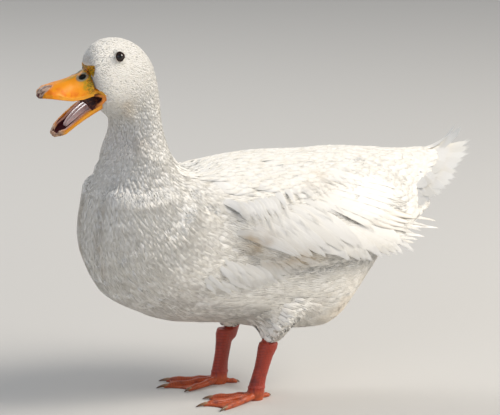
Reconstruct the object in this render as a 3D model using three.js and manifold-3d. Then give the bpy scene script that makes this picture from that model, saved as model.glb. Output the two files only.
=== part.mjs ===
// A life-size white domestic duck hen, standing still and calling with an open bill.
// Millimetres, +Z up. The duck faces -X, so its left side is -Y.
import * as THREE from "three";
import { mergeVertices } from "three/addons/utils/BufferGeometryUtils.js";
import Module from "manifold-3d";

const wasm = await Module();
wasm.setup();
const { lerp, degToRad, smoothstep, clamp } = THREE.MathUtils;

// ---------------------------------------------------------------- driving sizes
const GAP = 0.3; // clear space between neighbouring solids

const SLICE_POINTS = 26; // points round each slice of the body
const SLICES_PER_STATION = 2.3; // slices between two stations of the body

const HEAD_PIVOT = new THREE.Vector3(-145, 0, 392); // the head turns about this point
const HEAD_YAW = degToRad(8); // turned towards the duck's left
const HEAD_ROLL = degToRad(14); // its left cheek lowered

const EYE_RADIUS = 7.5;
const EYE_FORWARD = 24.5; // from the head's pivot to the eye's centre
const EYE_HEIGHT = 414.5;
const EYE_SIDE = 18.6; // from the middle of the head to the eye's centre

const GAPE_FORWARD = 34; // the corner of the mouth
const GAPE_HEIGHT = 367;
const BILL_POINTS = 18; // points round each ring of the bill

const LEG_SIDE = 45; // from the middle of the body to each leg
const STRIDE = { hock: -12.5, ankle: -6 }; // how far the right leg is ahead of the left
const CUFF_HEIGHT = 66; // the lower end of the feathered thigh
const ANKLE_HEIGHT = 15;
const ANKLE_X = -4;
const TOE_RADIUS = 4.6;
const WEB_THICKNESS = 2.4;

// ---------------------------------------------------------------- materials
const paint = (colour, roughness) =>
  new THREE.MeshStandardMaterial({ color: colour, roughness, metalness: 0 });

const PLUMAGE = paint("#f4f2ec", 0.85);
const BILL_ORANGE = paint("#ffa51c", 0.4);
const TONGUE_PINK = paint("#d9a8a4", 0.25);
const EYE_BLACK = paint("#17120f", 0.08);
const LEG_ORANGE = paint("#c23f16", 0.55);

// ---------------------------------------------------------------- shape helpers
// A closed body through rings of equally many points. Each end is closed by a
// strip from one half of its ring across to the other.
function loft(rings) {
  const around = rings[0].length;
  const faces = [];
  for (let i = 0; i + 1 < rings.length; i++)
    for (let j = 0; j < around; j++) {
      const here = i * around + j;
      const next = i * around + ((j + 1) % around);
      faces.push(here, next, here + around, next, next + around, here + around);
    }
  const closeEnd = (first, flip) => {
    for (let j = 0; j < around / 2 - 1; j++) {
      const [a, b] = [first + j, first + j + 1];
      const [c, d] = [first + around - 2 - j, first + around - 1 - j];
      if (flip) faces.push(a, c, b, a, d, c);
      else faces.push(a, b, c, a, c, d);
    }
  };
  closeEnd(0, true);
  closeEnd((rings.length - 1) * around, false);
  const geometry = new THREE.BufferGeometry().setFromPoints(rings.flat());
  geometry.setIndex(faces);
  return geometry;
}

// The manifold-3d solid of a closed geometry, turned the right way out.
function solidOf(geometry) {
  const bare = new THREE.BufferGeometry();
  bare.setAttribute("position", geometry.getAttribute("position"));
  bare.setIndex(geometry.getIndex());
  const merged = mergeVertices(bare, 1e-4);
  const triVerts = new Uint32Array(merged.index.array);
  const vertProperties = new Float32Array(merged.attributes.position.array);
  const made = new wasm.Manifold(new wasm.Mesh({ numProp: 3, vertProperties, triVerts }));
  if (made.volume() > 0) return made;
  for (let i = 0; i < triVerts.length; i += 3)
    [triVerts[i + 1], triVerts[i + 2]] = [triVerts[i + 2], triVerts[i + 1]];
  return new wasm.Manifold(new wasm.Mesh({ numProp: 3, vertProperties, triVerts }));
}

const loftSolid = (rings) => solidOf(loft(rings));

// The largest separate piece of a solid, so that a cut leaves no crumbs.
const largest = (solid) =>
  solid.decompose().reduce((best, piece) => (piece.volume() > best.volume() ? piece : best));

// A named mesh of a solid.
function meshOf(name, solid, material) {
  const { vertProperties, triVerts } = solid.getMesh();
  const geometry = new THREE.BufferGeometry();
  geometry.setAttribute("position", new THREE.BufferAttribute(new Float32Array(vertProperties), 3));
  geometry.setIndex(new THREE.BufferAttribute(new Uint32Array(triVerts), 1));
  geometry.computeVertexNormals();
  const mesh = new THREE.Mesh(geometry, material);
  mesh.name = name;
  return mesh;
}

// The same rings on the other side of the body.
const mirrored = (rings) =>
  rings.map((ring) => ring.map((p) => new THREE.Vector3(p.x, -p.y, p.z)));

// A smooth curve through rows of three numbers, read by row number.
function rowCurve(rows) {
  const curve = new THREE.CatmullRomCurve3(rows.map((row) => new THREE.Vector3(...row)));
  return (row) => curve.getPoint(clamp(row / (rows.length - 1), 0, 1));
}

// A closed oval ring across two half-axes. Fullness 2 is an ellipse and more is
// squarer. Sag moves the widest place away from the first axis's tip.
function oval(centre, up, side, count, fullness = 2, sag = 0) {
  const bend = (value) => Math.sign(value) * Math.abs(value) ** (2 / fullness);
  const ring = [];
  for (let j = 0; j < count; j++) {
    const angle = (2 * Math.PI * (j + 0.5)) / count;
    const rise = bend(Math.cos(angle));
    const spread = bend(Math.sin(angle)) * (1 - sag * Math.cos(angle));
    ring.push(centre.clone().addScaledVector(up, rise).addScaledVector(side, spread));
  }
  return ring;
}

// ---------------------------------------------------------------- the whole outline
// Slices across the bird from the face to the tail. Each has its upper point and
// its lower point as [x, z], its half-width, its fullness and its sag.
const STATIONS = [
  { name: "face", top: [-200, 398], low: [-182, 349], half: 16.5, full: 2.2, sag: 0 },
  { name: "brow", top: [-201, 412], low: [-175, 343], half: 21, full: 2.2, sag: 0.05 },
  { name: "crown", top: [-187, 428], low: [-168, 337], half: 26, full: 2.1, sag: 0.08 },
  { name: "hindcrown", top: [-160, 430], low: [-160, 330], half: 29, full: 2.1, sag: 0.05 },
  { name: "occiput", top: [-133, 418], low: [-157, 323], half: 30.5, full: 2, sag: 0 },
  { name: "nape", top: [-113, 394], low: [-157, 315], half: 31.5, full: 2, sag: 0 },
  { name: "neck", top: [-104, 360], low: [-162, 303], half: 34, full: 2, sag: 0 },
  { name: "collar", top: [-101, 324], low: [-173, 284], half: 43, full: 2, sag: 0 },
  { name: "neckbase", top: [-91, 292], low: [-189, 259], half: 55, full: 2, sag: 0 },
  { name: "shoulder", top: [-75, 271], low: [-200, 221], half: 71, full: 2.05, sag: 0.02 },
  { name: "breast", top: [-42, 279], low: [-198, 170], half: 83, full: 2.15, sag: 0.04 },
  { name: "keel", top: [2, 284], low: [-170, 124], half: 88, full: 2.2, sag: 0.05 },
  { name: "forebelly", top: [48, 285], low: [-109, 96], half: 89, full: 2.25, sag: 0.05 },
  { name: "belly", top: [92, 284], low: [-34, 85], half: 87, full: 2.25, sag: 0.04 },
  { name: "hindbelly", top: [130, 283], low: [42, 71], half: 81, full: 2.2, sag: 0 },
  { name: "abdomen", top: [163, 280], low: [104, 69], half: 69, full: 2.1, sag: -0.04 },
  { name: "rump", top: [190, 276], low: [134, 104], half: 55, full: 2, sag: -0.05 },
  { name: "vent", top: [211, 274], low: [168, 146], half: 43, full: 2, sag: -0.05 },
  { name: "tailbase", top: [233, 274], low: [206, 190], half: 32, full: 2, sag: 0 },
  { name: "tailend", top: [252, 270], low: [240, 236], half: 17, full: 2, sag: 0 },
];
const row = (name) => STATIONS.findIndex((station) => station.name === name);
const LAST_ROW = STATIONS.length - 1;
const NECK_CUT = row("nape") + 0.35; // the head ends here
const TRUNK_CUT = row("shoulder") - 0.35; // the neck ends here
const TAIL_CUT = row("vent"); // the trunk ends here

const topAt = rowCurve(STATIONS.map((s) => [s.top[0], 0, s.top[1]]));
const lowAt = rowCurve(STATIONS.map((s) => [s.low[0], 0, s.low[1]]));
const girthAt = rowCurve(STATIONS.map((s) => [s.half, s.full, s.sag]));

// The head's turn about its pivot, as a share of the whole turn.
function headTurn(share) {
  const { x, y, z } = HEAD_PIVOT;
  return new THREE.Matrix4()
    .makeTranslation(x, y, z)
    .multiply(new THREE.Matrix4().makeRotationZ(HEAD_YAW * share))
    .multiply(new THREE.Matrix4().makeRotationX(HEAD_ROLL * share))
    .multiply(new THREE.Matrix4().makeTranslation(-x, -y, -z));
}

// One slice of the bird, grown outwards and shifted along the body.
function slice(at, grow, shift) {
  const top = topAt(at);
  const low = lowAt(at);
  const { x: half, y: full, z: sag } = girthAt(at);
  const centre = top.clone().add(low).multiplyScalar(0.5);
  const up = top.clone().sub(low).multiplyScalar(0.5);
  const side = new THREE.Vector3(0, half + grow, 0);
  const along = new THREE.Vector3().crossVectors(side, up).normalize();
  up.setLength(up.length() + grow);
  centre.addScaledVector(along, shift);
  const turn = headTurn(1 - smoothstep(at, row("occiput"), row("shoulder")));
  return oval(centre, up, side, SLICE_POINTS, full, sag).map((p) => p.applyMatrix4(turn));
}

// The bird between two stations. A plain stretch is held back by half a gap at
// each end, and a grown one, which makes room for it in a neighbour, reaches out.
function stretch(from, to, grow = 0) {
  const count = Math.round((to - from) * SLICES_PER_STATION);
  const inset = grow > 0 ? -grow : GAP / 2;
  const rings = [];
  for (let i = 0; i <= count; i++) {
    const shift = i === 0 ? inset : i === count ? -inset : 0;
    rings.push(slice(lerp(from, to, i / count), grow, shift));
  }
  return loftSolid(rings);
}

// ---------------------------------------------------------------- head
const HEAD_MATRIX = headTurn(1);

// A point of the head: forward of the pivot, to the duck's right, and its height.
const headPoint = (forward, right, height) =>
  new THREE.Vector3(HEAD_PIVOT.x - forward, right, height).applyMatrix4(HEAD_MATRIX);

// The open mouth: a wedge right through the cheeks, from the gape forwards.
function mouthWedge() {
  const reach = 45;
  const width = 80;
  const outline = new THREE.Shape([
    new THREE.Vector2(GAPE_FORWARD, GAPE_HEIGHT),
    new THREE.Vector2(GAPE_FORWARD + 12, GAPE_HEIGHT - 11),
    new THREE.Vector2(GAPE_FORWARD + reach, GAPE_HEIGHT - 34),
    new THREE.Vector2(GAPE_FORWARD + reach, GAPE_HEIGHT + 1.5),
    new THREE.Vector2(GAPE_FORWARD + 8, GAPE_HEIGHT + 1.5),
  ]);
  const wedge = new THREE.ExtrudeGeometry(outline, { depth: width, bevelEnabled: false });
  const place = wedge.getAttribute("position");
  for (let i = 0; i < place.count; i++) {
    const right = place.getZ(i) - width / 2;
    const point = headPoint(place.getX(i), right, place.getY(i));
    place.setXYZ(i, point.x, point.y, point.z);
  }
  wedge.deleteAttribute("normal");
  wedge.deleteAttribute("uv");
  return solidOf(mergeVertices(wedge, 1e-4));
}

function eyeball(side, grow = 0) {
  const ball = new THREE.SphereGeometry(EYE_RADIUS + grow, 14, 9);
  ball.deleteAttribute("normal");
  ball.deleteAttribute("uv");
  const centre = headPoint(EYE_FORWARD, side * EYE_SIDE, EYE_HEIGHT);
  ball.rotateX(Math.PI / 2).translate(centre.x, centre.y, centre.z);
  return solidOf(mergeVertices(ball, 1e-4));
}

// A ring of the bill, arched above its edges and bellied below them.
function billRing(forward, half, edge, above, below) {
  const ring = [];
  for (let j = 0; j < BILL_POINTS; j++) {
    const angle = (2 * Math.PI * (j + 0.5)) / BILL_POINTS;
    const rise = Math.cos(angle) * (Math.cos(angle) > 0 ? above : below);
    ring.push(headPoint(forward, Math.sin(angle) * half, edge + rise));
  }
  return ring;
}

// The upper bill from inside the face to the nail at its tip.
const UPPER_BILL = [
  { forward: 37, ridge: 399, edge: 371, half: 16.5 },
  { forward: 52, ridge: 397.5, edge: 368, half: 16.5 },
  { forward: 62, ridge: 391.5, edge: 365, half: 15.5 },
  { forward: 76, ridge: 386, edge: 364.5, half: 16 },
  { forward: 91, ridge: 382, edge: 367.5, half: 17 },
  { forward: 103, ridge: 378.5, edge: 369.5, half: 15.5 },
  { forward: 109.5, ridge: 375, edge: 369, half: 11 },
  { forward: 113, ridge: 371.5, edge: 367, half: 4.5 },
];
const upperBill = () =>
  loftSolid(
    UPPER_BILL.map(({ forward, ridge, edge, half }) =>
      billRing(forward, half, edge, ridge - edge, 1.6),
    ),
  );

// The lower bill, a trough whose rim drops from the gape to its tip.
const LOWER_BILL = { start: 28, tip: 88, rimStart: 364.5, rimTip: 320, wall: 2.2, rows: 9 };

// Where the rim is at a share of the lower bill's length.
const lowerRim = (share) =>
  lerp(LOWER_BILL.rimStart, LOWER_BILL.rimTip, share) + 2.5 * Math.sin(Math.PI * share);
const lowerForward = (share) => lerp(LOWER_BILL.start, LOWER_BILL.tip, share);

function lowerBillRings(inset, above) {
  const rings = [];
  for (let i = 0; i < LOWER_BILL.rows; i++) {
    const share = i / (LOWER_BILL.rows - 1);
    const rounding = Math.sqrt(1 - (0.97 * share) ** 8);
    const half = Math.max((17 - 1.5 * share) * rounding - inset, 1);
    const below = Math.max((17 - 9.5 * share) * rounding - inset, 1);
    const forward = lowerForward(share) - (share > 0.5 ? inset : 0);
    rings.push(billRing(forward, half, lowerRim(share), above, below));
  }
  return rings;
}

const lowerBill = () =>
  loftSolid(lowerBillRings(0, 0.6)).subtract(loftSolid(lowerBillRings(LOWER_BILL.wall, 6)));

// The tongue lies in the trough, humped behind and thin at its tip.
function tongue() {
  const rings = [];
  for (let share = 0.12; share < 0.78; share += 0.08) {
    const narrowing = Math.sqrt(1 - ((share - 0.12) / 0.67) ** 4);
    const half = 7.5 * narrowing + 0.6;
    const middle = lowerRim(share) - 5.5 + 7 * Math.sin(Math.PI * share) - 3 * share;
    rings.push(billRing(lowerForward(share), half, middle, 2.6 * narrowing + 0.4, 2));
  }
  return loftSolid(rings);
}

// ---------------------------------------------------------------- wings
// Slices of the folded wing: where along the body, then the upper edge, the
// middle and the lower edge as [distance from the middle of the body, height].
const WING = [
  { x: -76, top: [74, 232], mid: [77, 224], low: [78, 216], thick: 3 },
  { x: -62, top: [66, 247], mid: [82, 222], low: [83, 198], thick: 7 },
  { x: -30, top: [58, 263], mid: [90, 224], low: [89, 180], thick: 9 },
  { x: 12, top: [52, 272], mid: [94, 224], low: [92, 163], thick: 10 },
  { x: 60, top: [50, 274], mid: [95, 222], low: [91, 160], thick: 10 },
  { x: 110, top: [48, 272], mid: [90, 220], low: [84, 164], thick: 9 },
  { x: 150, top: [42, 266], mid: [79, 217], low: [74, 167], thick: 7 },
  { x: 185, top: [37, 250], mid: [63, 212], low: [63, 171], thick: 5 },
  { x: 212, top: [37, 228], mid: [52, 206], low: [53, 184], thick: 4 },
  { x: 234, top: [41, 199], mid: [43, 194], low: [44, 189], thick: 2.5 },
];
const WING_SLICES = 22;
const WING_POINTS = 9; // points from the upper edge to the lower one

function wingRings() {
  const last = WING.length - 1;
  const placeAt = rowCurve(WING.map((w) => [w.x, w.thick, 0]));
  const topOf = rowCurve(WING.map((w) => [0, -w.top[0], w.top[1]]));
  const midOf = rowCurve(WING.map((w) => [0, -w.mid[0], w.mid[1]]));
  const lowOf = rowCurve(WING.map((w) => [0, -w.low[0], w.low[1]]));
  const rings = [];
  for (let i = 0; i <= WING_SLICES; i++) {
    const at = (i / WING_SLICES) * last;
    const { x, y: thick } = placeAt(at);
    const [top, mid, low] = [topOf(at), midOf(at), lowOf(at)];
    const pull = mid.clone().multiplyScalar(2).sub(top.clone().add(low).multiplyScalar(0.5));
    const arc = new THREE.QuadraticBezierCurve3(top, pull, low);
    const faceOf = (share, side) => {
      const point = arc.getPoint(share);
      const down = arc.getTangent(share);
      const depth = 0.5 * thick * (1 - 0.85 * (2 * share - 1) ** 4);
      const out = new THREE.Vector3(0, down.z, -down.y).multiplyScalar(side * depth);
      return point.add(out).setX(x);
    };
    const outer = [];
    const inner = [];
    for (let j = 0; j < WING_POINTS; j++) {
      const share = j / (WING_POINTS - 1);
      outer.push(faceOf(share, 1));
      inner.unshift(faceOf(share, -1));
    }
    rings.push([...outer, ...inner]);
  }
  return rings;
}

// ---------------------------------------------------------------- tail
// The tail feathers as one roof-shaped fan about a root inside the rump.
const FAN = { rootX: 190, rootZ: 256, start: 32, spread: degToRad(62), rise: 18, droop: 50 };
const FAN_MIDDLE_REACH = 106;
const FAN_SIDE_REACH = 66;
const FAN_POINTS = 13;
const FAN_ROWS = 8;

function tailFan() {
  const rings = [];
  for (let i = 0; i < FAN_ROWS; i++) {
    const share = i / (FAN_ROWS - 1);
    const thick = lerp(20, 1.4, share ** 0.7);
    const upper = [];
    const lower = [];
    for (let j = 0; j < FAN_POINTS; j++) {
      const turn = (2 * j) / (FAN_POINTS - 1) - 1;
      const reach = lerp(FAN_MIDDLE_REACH, FAN_SIDE_REACH, Math.abs(turn) ** 1.5);
      const out = lerp(FAN.start, reach, share);
      const x = FAN.rootX + out * Math.cos(turn * FAN.spread);
      const y = out * Math.sin(turn * FAN.spread);
      const part = out / FAN_MIDDLE_REACH;
      const middle = FAN.rootZ + FAN.rise * part ** 1.4 - FAN.droop * turn ** 2 * part * 1.45;
      upper.push(new THREE.Vector3(x, y, middle + thick / 2));
      lower.unshift(new THREE.Vector3(x, y, middle - thick / 2));
    }
    rings.push([...upper, ...lower]);
  }
  return loftSolid(rings);
}

// ---------------------------------------------------------------- legs
// How far a leg's slice at a height is shifted along the body by the stride.
const strideAt = (side, height) =>
  side < 0 ? 0 : lerp(STRIDE.ankle, STRIDE.hock, clamp((height - ANKLE_HEIGHT) / 45, 0, 1));

// A lofted limb of upright oval slices: where its middle is along the body and
// in height, and its half-depth and half-width.
function limb(slices, side, count) {
  const placed = slices.map(([x, z, depth, width]) => {
    const centre = new THREE.Vector3(x + strideAt(side, z), side * LEG_SIDE, z);
    return oval(centre, new THREE.Vector3(depth, 0, 0), new THREE.Vector3(0, width, 0), count);
  });
  return loftSolid(placed);
}

const THIGH = [
  [40, 140, 34, 26],
  [32, 112, 33, 26],
  [24, 90, 25, 22],
  [16, 75, 16, 16],
  [12, CUFF_HEIGHT + GAP, 13, 12],
];
const SHANK = [
  [11.5, CUFF_HEIGHT, 11.4, 10],
  [10, 60, 11.9, 10],
  [6.5, 50, 10, 8.4],
  [3, 38, 9.2, 7.8],
  [-1, 26, 9.2, 7.8],
  [ANKLE_X, ANKLE_HEIGHT, 10, 8.8],
];
const ANKLE = [
  [ANKLE_X, ANKLE_HEIGHT - GAP, 10, 8.8],
  [ANKLE_X - 1, 8, 10.6, 9.2],
  [ANKLE_X - 2, -3, 9, 8],
];

// Toes: which way each points from straight ahead, outwards being positive, and
// how far its claw reaches from the ankle.
const TOES = [
  { outwards: -24, reach: 63 },
  { outwards: 4, reach: 80 },
  { outwards: 30, reach: 73 },
];
const HIND_TOE = { outwards: 200, reach: 24 };

// A toe from the ankle, with low knuckles and a claw that thins to its tip.
function toe({ outwards, reach }, side, thickness = 1) {
  const turn = degToRad(outwards);
  const ahead = new THREE.Vector3(-Math.cos(turn), side * Math.sin(turn), 0);
  const across = new THREE.Vector3(-ahead.y, ahead.x, 0);
  const rings = [];
  const rows = 10;
  for (let i = 0; i < rows; i++) {
    const share = i / (rows - 1);
    const knuckle = 1 + 0.1 * Math.cos(share * 6 * Math.PI);
    const claw = share > 0.84 ? lerp(0.62, 0.16, (share - 0.84) / 0.16) : 1;
    const radius = TOE_RADIUS * thickness * (1 - 0.3 * share) * knuckle * claw;
    const height = radius * 0.85 + 2.6 * (1 - share) ** 3;
    const centre = new THREE.Vector3(ANKLE_X + strideAt(side, 0), side * LEG_SIDE, height);
    centre.addScaledVector(ahead, reach * share);
    const up = new THREE.Vector3(0, 0, radius);
    rings.push(oval(centre, up, across.clone().setLength(radius), 8));
  }
  return loftSolid(rings);
}

// The web between the toes: a thin sheet, scalloped between the claws.
function web(side) {
  const ahead = (angle, reach) => {
    const turn = degToRad(angle);
    return new THREE.Vector2(ANKLE_X - reach * Math.cos(turn), side * reach * Math.sin(turn));
  };
  const shape = new THREE.Shape().moveTo(ANKLE_X, 0);
  TOES.forEach(({ outwards, reach }, i) => {
    const tip = ahead(outwards, reach * 0.84);
    if (i === 0) {
      shape.lineTo(tip.x, tip.y);
      return;
    }
    const before = TOES[i - 1];
    const middle = (before.outwards + outwards) / 2;
    const bay = ahead(middle, Math.min(before.reach, reach) * 0.74);
    shape.quadraticCurveTo(bay.x, bay.y, tip.x, tip.y);
  });
  const sheet = new THREE.ExtrudeGeometry(shape, {
    depth: WEB_THICKNESS,
    bevelEnabled: false,
    curveSegments: 6,
  });
  sheet.deleteAttribute("normal");
  sheet.deleteAttribute("uv");
  sheet.translate(strideAt(side, 0), side * LEG_SIDE, 0);
  return solidOf(mergeVertices(sheet, 1e-4));
}

// A webbed foot, cut level where it stands on the floor.
function foot(side) {
  let whole = limb(ANKLE, side, 16).add(web(side)).add(toe(HIND_TOE, side, 0.8));
  for (const each of TOES) whole = whole.add(toe(each, side));
  const under = new THREE.BoxGeometry(300, 300, 40).translate(0, 0, -20);
  under.deleteAttribute("normal");
  under.deleteAttribute("uv");
  return whole.subtract(solidOf(mergeVertices(under, 1e-4)));
}

// ---------------------------------------------------------------- the duck
const group = new THREE.Group();
const SIDES = [
  ["left", -1],
  ["right", 1],
];

const headGrown = stretch(0, NECK_CUT, GAP).subtract(mouthWedge());
const trunkGrown = stretch(TRUNK_CUT, TAIL_CUT, GAP);
const tailGrown = stretch(TAIL_CUT, LAST_ROW, GAP).add(tailFan());

let head = stretch(0, NECK_CUT).subtract(mouthWedge());
for (const [, side] of SIDES) head = head.subtract(eyeball(side, GAP));
group.add(meshOf("head", largest(head), PLUMAGE));
group.add(meshOf("neck", stretch(NECK_CUT, TRUNK_CUT), PLUMAGE));
group.add(meshOf("trunk", stretch(TRUNK_CUT, TAIL_CUT), PLUMAGE));
group.add(meshOf("tail", stretch(TAIL_CUT, LAST_ROW).add(tailFan()), PLUMAGE));
group.add(meshOf("upper_bill", largest(upperBill().subtract(headGrown)), BILL_ORANGE));
group.add(meshOf("lower_bill", largest(lowerBill().subtract(headGrown)), BILL_ORANGE));
group.add(meshOf("tongue", largest(tongue().subtract(headGrown)), TONGUE_PINK));

for (const [name, side] of SIDES) {
  const rings = side < 0 ? wingRings() : mirrored(wingRings());
  const wing = loftSolid(rings).subtract(trunkGrown).subtract(tailGrown);
  group.add(meshOf("eye_" + name, eyeball(side), EYE_BLACK));
  group.add(meshOf("wing_" + name, largest(wing), PLUMAGE));
  group.add(meshOf("thigh_" + name, limb(THIGH, side, 20).subtract(trunkGrown), PLUMAGE));
  group.add(meshOf("shank_" + name, limb(SHANK, side, 16), LEG_ORANGE));
  group.add(meshOf("foot_" + name, foot(side), LEG_ORANGE));
}

// The origin is under the middle of the whole bird, at the floor.
const bounds = new THREE.Box3().setFromObject(group);
const middle = bounds.getCenter(new THREE.Vector3());
group.position.set(-middle.x, -middle.y, -bounds.min.z);

export default group;
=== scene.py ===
import logging
import math
from dataclasses import dataclass
from enum import Enum
from functools import partial
from typing import Callable

import bmesh
import bpy
import numpy as np
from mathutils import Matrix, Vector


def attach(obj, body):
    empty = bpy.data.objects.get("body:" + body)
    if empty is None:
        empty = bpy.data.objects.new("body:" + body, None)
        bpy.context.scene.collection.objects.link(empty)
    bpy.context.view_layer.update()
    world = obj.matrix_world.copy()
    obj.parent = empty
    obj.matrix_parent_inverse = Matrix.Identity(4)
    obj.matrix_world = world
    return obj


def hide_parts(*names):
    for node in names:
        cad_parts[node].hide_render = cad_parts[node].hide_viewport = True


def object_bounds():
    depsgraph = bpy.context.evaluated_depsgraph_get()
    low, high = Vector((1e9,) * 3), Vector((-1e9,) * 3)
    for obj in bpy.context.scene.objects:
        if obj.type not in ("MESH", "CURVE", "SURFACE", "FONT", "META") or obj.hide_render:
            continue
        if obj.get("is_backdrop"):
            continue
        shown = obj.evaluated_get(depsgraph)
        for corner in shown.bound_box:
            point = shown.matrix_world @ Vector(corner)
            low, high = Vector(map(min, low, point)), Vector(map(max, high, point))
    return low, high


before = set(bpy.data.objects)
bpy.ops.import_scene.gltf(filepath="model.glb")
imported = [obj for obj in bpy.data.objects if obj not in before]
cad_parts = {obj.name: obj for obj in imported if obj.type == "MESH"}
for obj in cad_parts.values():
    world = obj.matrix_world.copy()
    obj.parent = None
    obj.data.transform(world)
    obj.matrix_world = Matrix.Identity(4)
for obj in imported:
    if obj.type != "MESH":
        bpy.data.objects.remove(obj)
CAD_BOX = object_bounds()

import openvdb
from bpy.types import Material, Mesh, Node, NodeSocket, NodeTree, Object
from mathutils import Matrix, Vector
from mathutils.bvhtree import BVHTree

Array = np.ndarray
MM = 0.001
BAKE_MAP = "OFBake"  # the UV map that carries a feather's place on the skin
BAKE_PATCH = 0.003  # width of a feather's patch on that map
DRAPE = 13 * MM  # how far above and below a laid feather the skin under it is looked for
LOG = logging.getLogger("duck")


# ---------------------------------------------------------------- small helpers
def unit(vectors: Array) -> Array:
    """Returns the vectors at length one."""
    return vectors / np.maximum(np.linalg.norm(vectors, axis=-1, keepdims=True), 1e-9)


def smoothstep(values: Array, low: float, high: float) -> Array:
    """Returns 0 below low, 1 above high and a smooth rise between them."""
    share = np.clip((values - low) / (high - low), 0.0, 1.0)
    return share * share * (3.0 - 2.0 * share)


def lerp(start: Array, end: Array, share: Array) -> Array:
    """Returns the values at a share of the way from start to end."""
    return start + (end - start) * share


def round_over(first: Array, second: Array, soft: float) -> Array:
    """Joins two signed distances with a soft fillet."""
    share = np.clip(0.5 + 0.5 * (second - first) / soft, 0, 1)
    return lerp(second, first, share) - soft * share * (1 - share)


def ripples(places: Array, seed: int, lengths: tuple[float, float]) -> Array:
    """Returns a smooth random height between about -1 and 1 at each place.

    Args:
        places: The places, one row each.
        seed: Picks the waves.
        lengths: The shortest and the longest wave.

    Returns:
        The sum of the waves.
    """
    random = np.random.default_rng(seed)
    total = np.zeros(len(places))
    for _ in range(7):
        way = unit(random.normal(0, 1, 3)) * 2 * math.pi / random.uniform(*lengths)
        total += np.sin(places @ way + random.uniform(0, 2 * math.pi))
    return total / 2.6


def linear(colour: str) -> tuple[float, float, float, float]:
    """Turns an sRGB hex colour into linear light.

    Args:
        colour: Six hex digits after a hash sign.

    Returns:
        Red, green, blue and a full alpha.
    """
    parts = [int(colour[i : i + 2], 16) / 255 for i in (1, 3, 5)]
    light = [p / 12.92 if p <= 0.04045 else ((p + 0.055) / 1.055) ** 2.4 for p in parts]
    return (*light, 1.0)


def feed(node: Node, links: dict) -> None:
    """Gives inputs of a node, by name or number, a value each or the socket that feeds them.

    Args:
        node: The node.
        links: For each of its inputs, by name or number, the value or the socket.
    """
    for key, value in links.items():
        if isinstance(value, NodeSocket):
            node.id_data.links.new(value, node.inputs[key])
        else:
            node.inputs[key].default_value = value


def add_node(
    tree: NodeTree,
    kind: str,
    links: dict | None = None,
    output: int = 0,
    **settings: object,
) -> NodeSocket | None:
    """Adds a node with its settings and links.

    Args:
        tree: The node tree that gets the node.
        kind: The node's type name.
        links: For each input, by name or number, a value or the socket that feeds it.
        output: Which of its outputs is returned.
        settings: Values of the node's own properties.

    Returns:
        That output, or None for a node that has none.
    """
    node = tree.nodes.new(kind)
    for name, value in settings.items():
        setattr(node, name, value)
    feed(node, links or {})
    return node.outputs[output] if node.outputs else None


def make_object(
    name: str,
    points: Array,
    faces: Array | list,
    material: Material | None,
    smooth: bool = True,
) -> Object:
    """Makes a mesh object whose place is in its mesh.

    Args:
        name: The object's name.
        points: One row of three coordinates for each vertex.
        faces: Rows of vertex numbers.
        material: The finish of the whole mesh.
        smooth: Whether the faces are shaded as one smooth surface.

    Returns:
        The object, linked to the scene.
    """
    mesh = bpy.data.meshes.new(name)
    mesh.from_pydata(np.asarray(points).tolist(), [], [list(map(int, f)) for f in faces])
    mesh.polygons.foreach_set("use_smooth", [smooth] * len(mesh.polygons))
    if material:
        mesh.materials.append(material)
    mesh.update()
    made = bpy.data.objects.new(name, mesh)
    bpy.context.scene.collection.objects.link(made)
    return made


def set_attribute(mesh: Mesh, name: str, kind: str, domain: str, values: Array) -> None:
    """Stores one value for each vertex, corner or face of a mesh.

    Args:
        mesh: The mesh.
        name: The attribute's name.
        kind: Its data type, such as FLOAT_VECTOR.
        domain: POINT, CORNER or FACE.
        values: The values in the mesh's order.
    """
    key = "value" if kind in ("FLOAT", "INT") else "vector"
    layer = mesh.attributes.new(name, kind, domain)
    layer.data.foreach_set(key, np.ascontiguousarray(values).ravel())


def gathered(items: object, key: str, width: int = 3, kind: type = float) -> Array:
    """Reads one value of each of a mesh's vertices, corners or faces.

    Args:
        items: The mesh's list of them.
        key: The value's name.
        width: How many numbers it has.
        kind: The numbers' type.

    Returns:
        One row for each.
    """
    values = np.empty(len(items) * width, kind)
    items.foreach_get(key, values)
    return values.reshape(-1, width)


def vertex_places(mesh: Mesh) -> Array:
    """Returns the places of a mesh's vertices, one row each."""
    return gathered(mesh.vertices, "co")


def vertex_normals(mesh: Mesh) -> Array:
    """Returns the smooth normals of a mesh's vertices, one row each."""
    return gathered(mesh.vertex_normals, "vector")


def corner_vertices(mesh: Mesh) -> Array:
    """Returns the vertex number of each of a mesh's corners."""
    return gathered(mesh.loops, "vertex_index", 1, np.int32)[:, 0]


def node_surface(*names: str) -> tuple[Array, Array]:
    """Gathers the triangles of some solids of the frame.

    Args:
        names: The solids' node names.

    Returns:
        The vertices' places and the triangles' vertex numbers.
    """
    points, faces, count = [], [], 0
    for name in names:
        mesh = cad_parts[name].data
        mesh.calc_loop_triangles()
        points.append(vertex_places(mesh))
        faces.append(gathered(mesh.loop_triangles, "vertices", kind=np.int32) + count)
        count += len(mesh.vertices)
    return np.concatenate(points), np.concatenate(faces)


def triangle_count(made: Object) -> int:
    """Returns how many triangles an object's mesh has."""
    return sum(len(face.vertices) - 2 for face in made.data.polygons)


def finished(made: Object, slot: str, *stands_for: str) -> Object:
    """Hands a finished piece to the frame and reports it.

    Args:
        made: The piece.
        slot: Not used.
        stands_for: The solids of the frame that it replaces.

    Returns:
        The piece.
    """
    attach(made, "root")
    if stands_for:
        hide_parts(*stands_for)
    LOG.info("%s: %d triangles", made.name, triangle_count(made))
    return made


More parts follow.
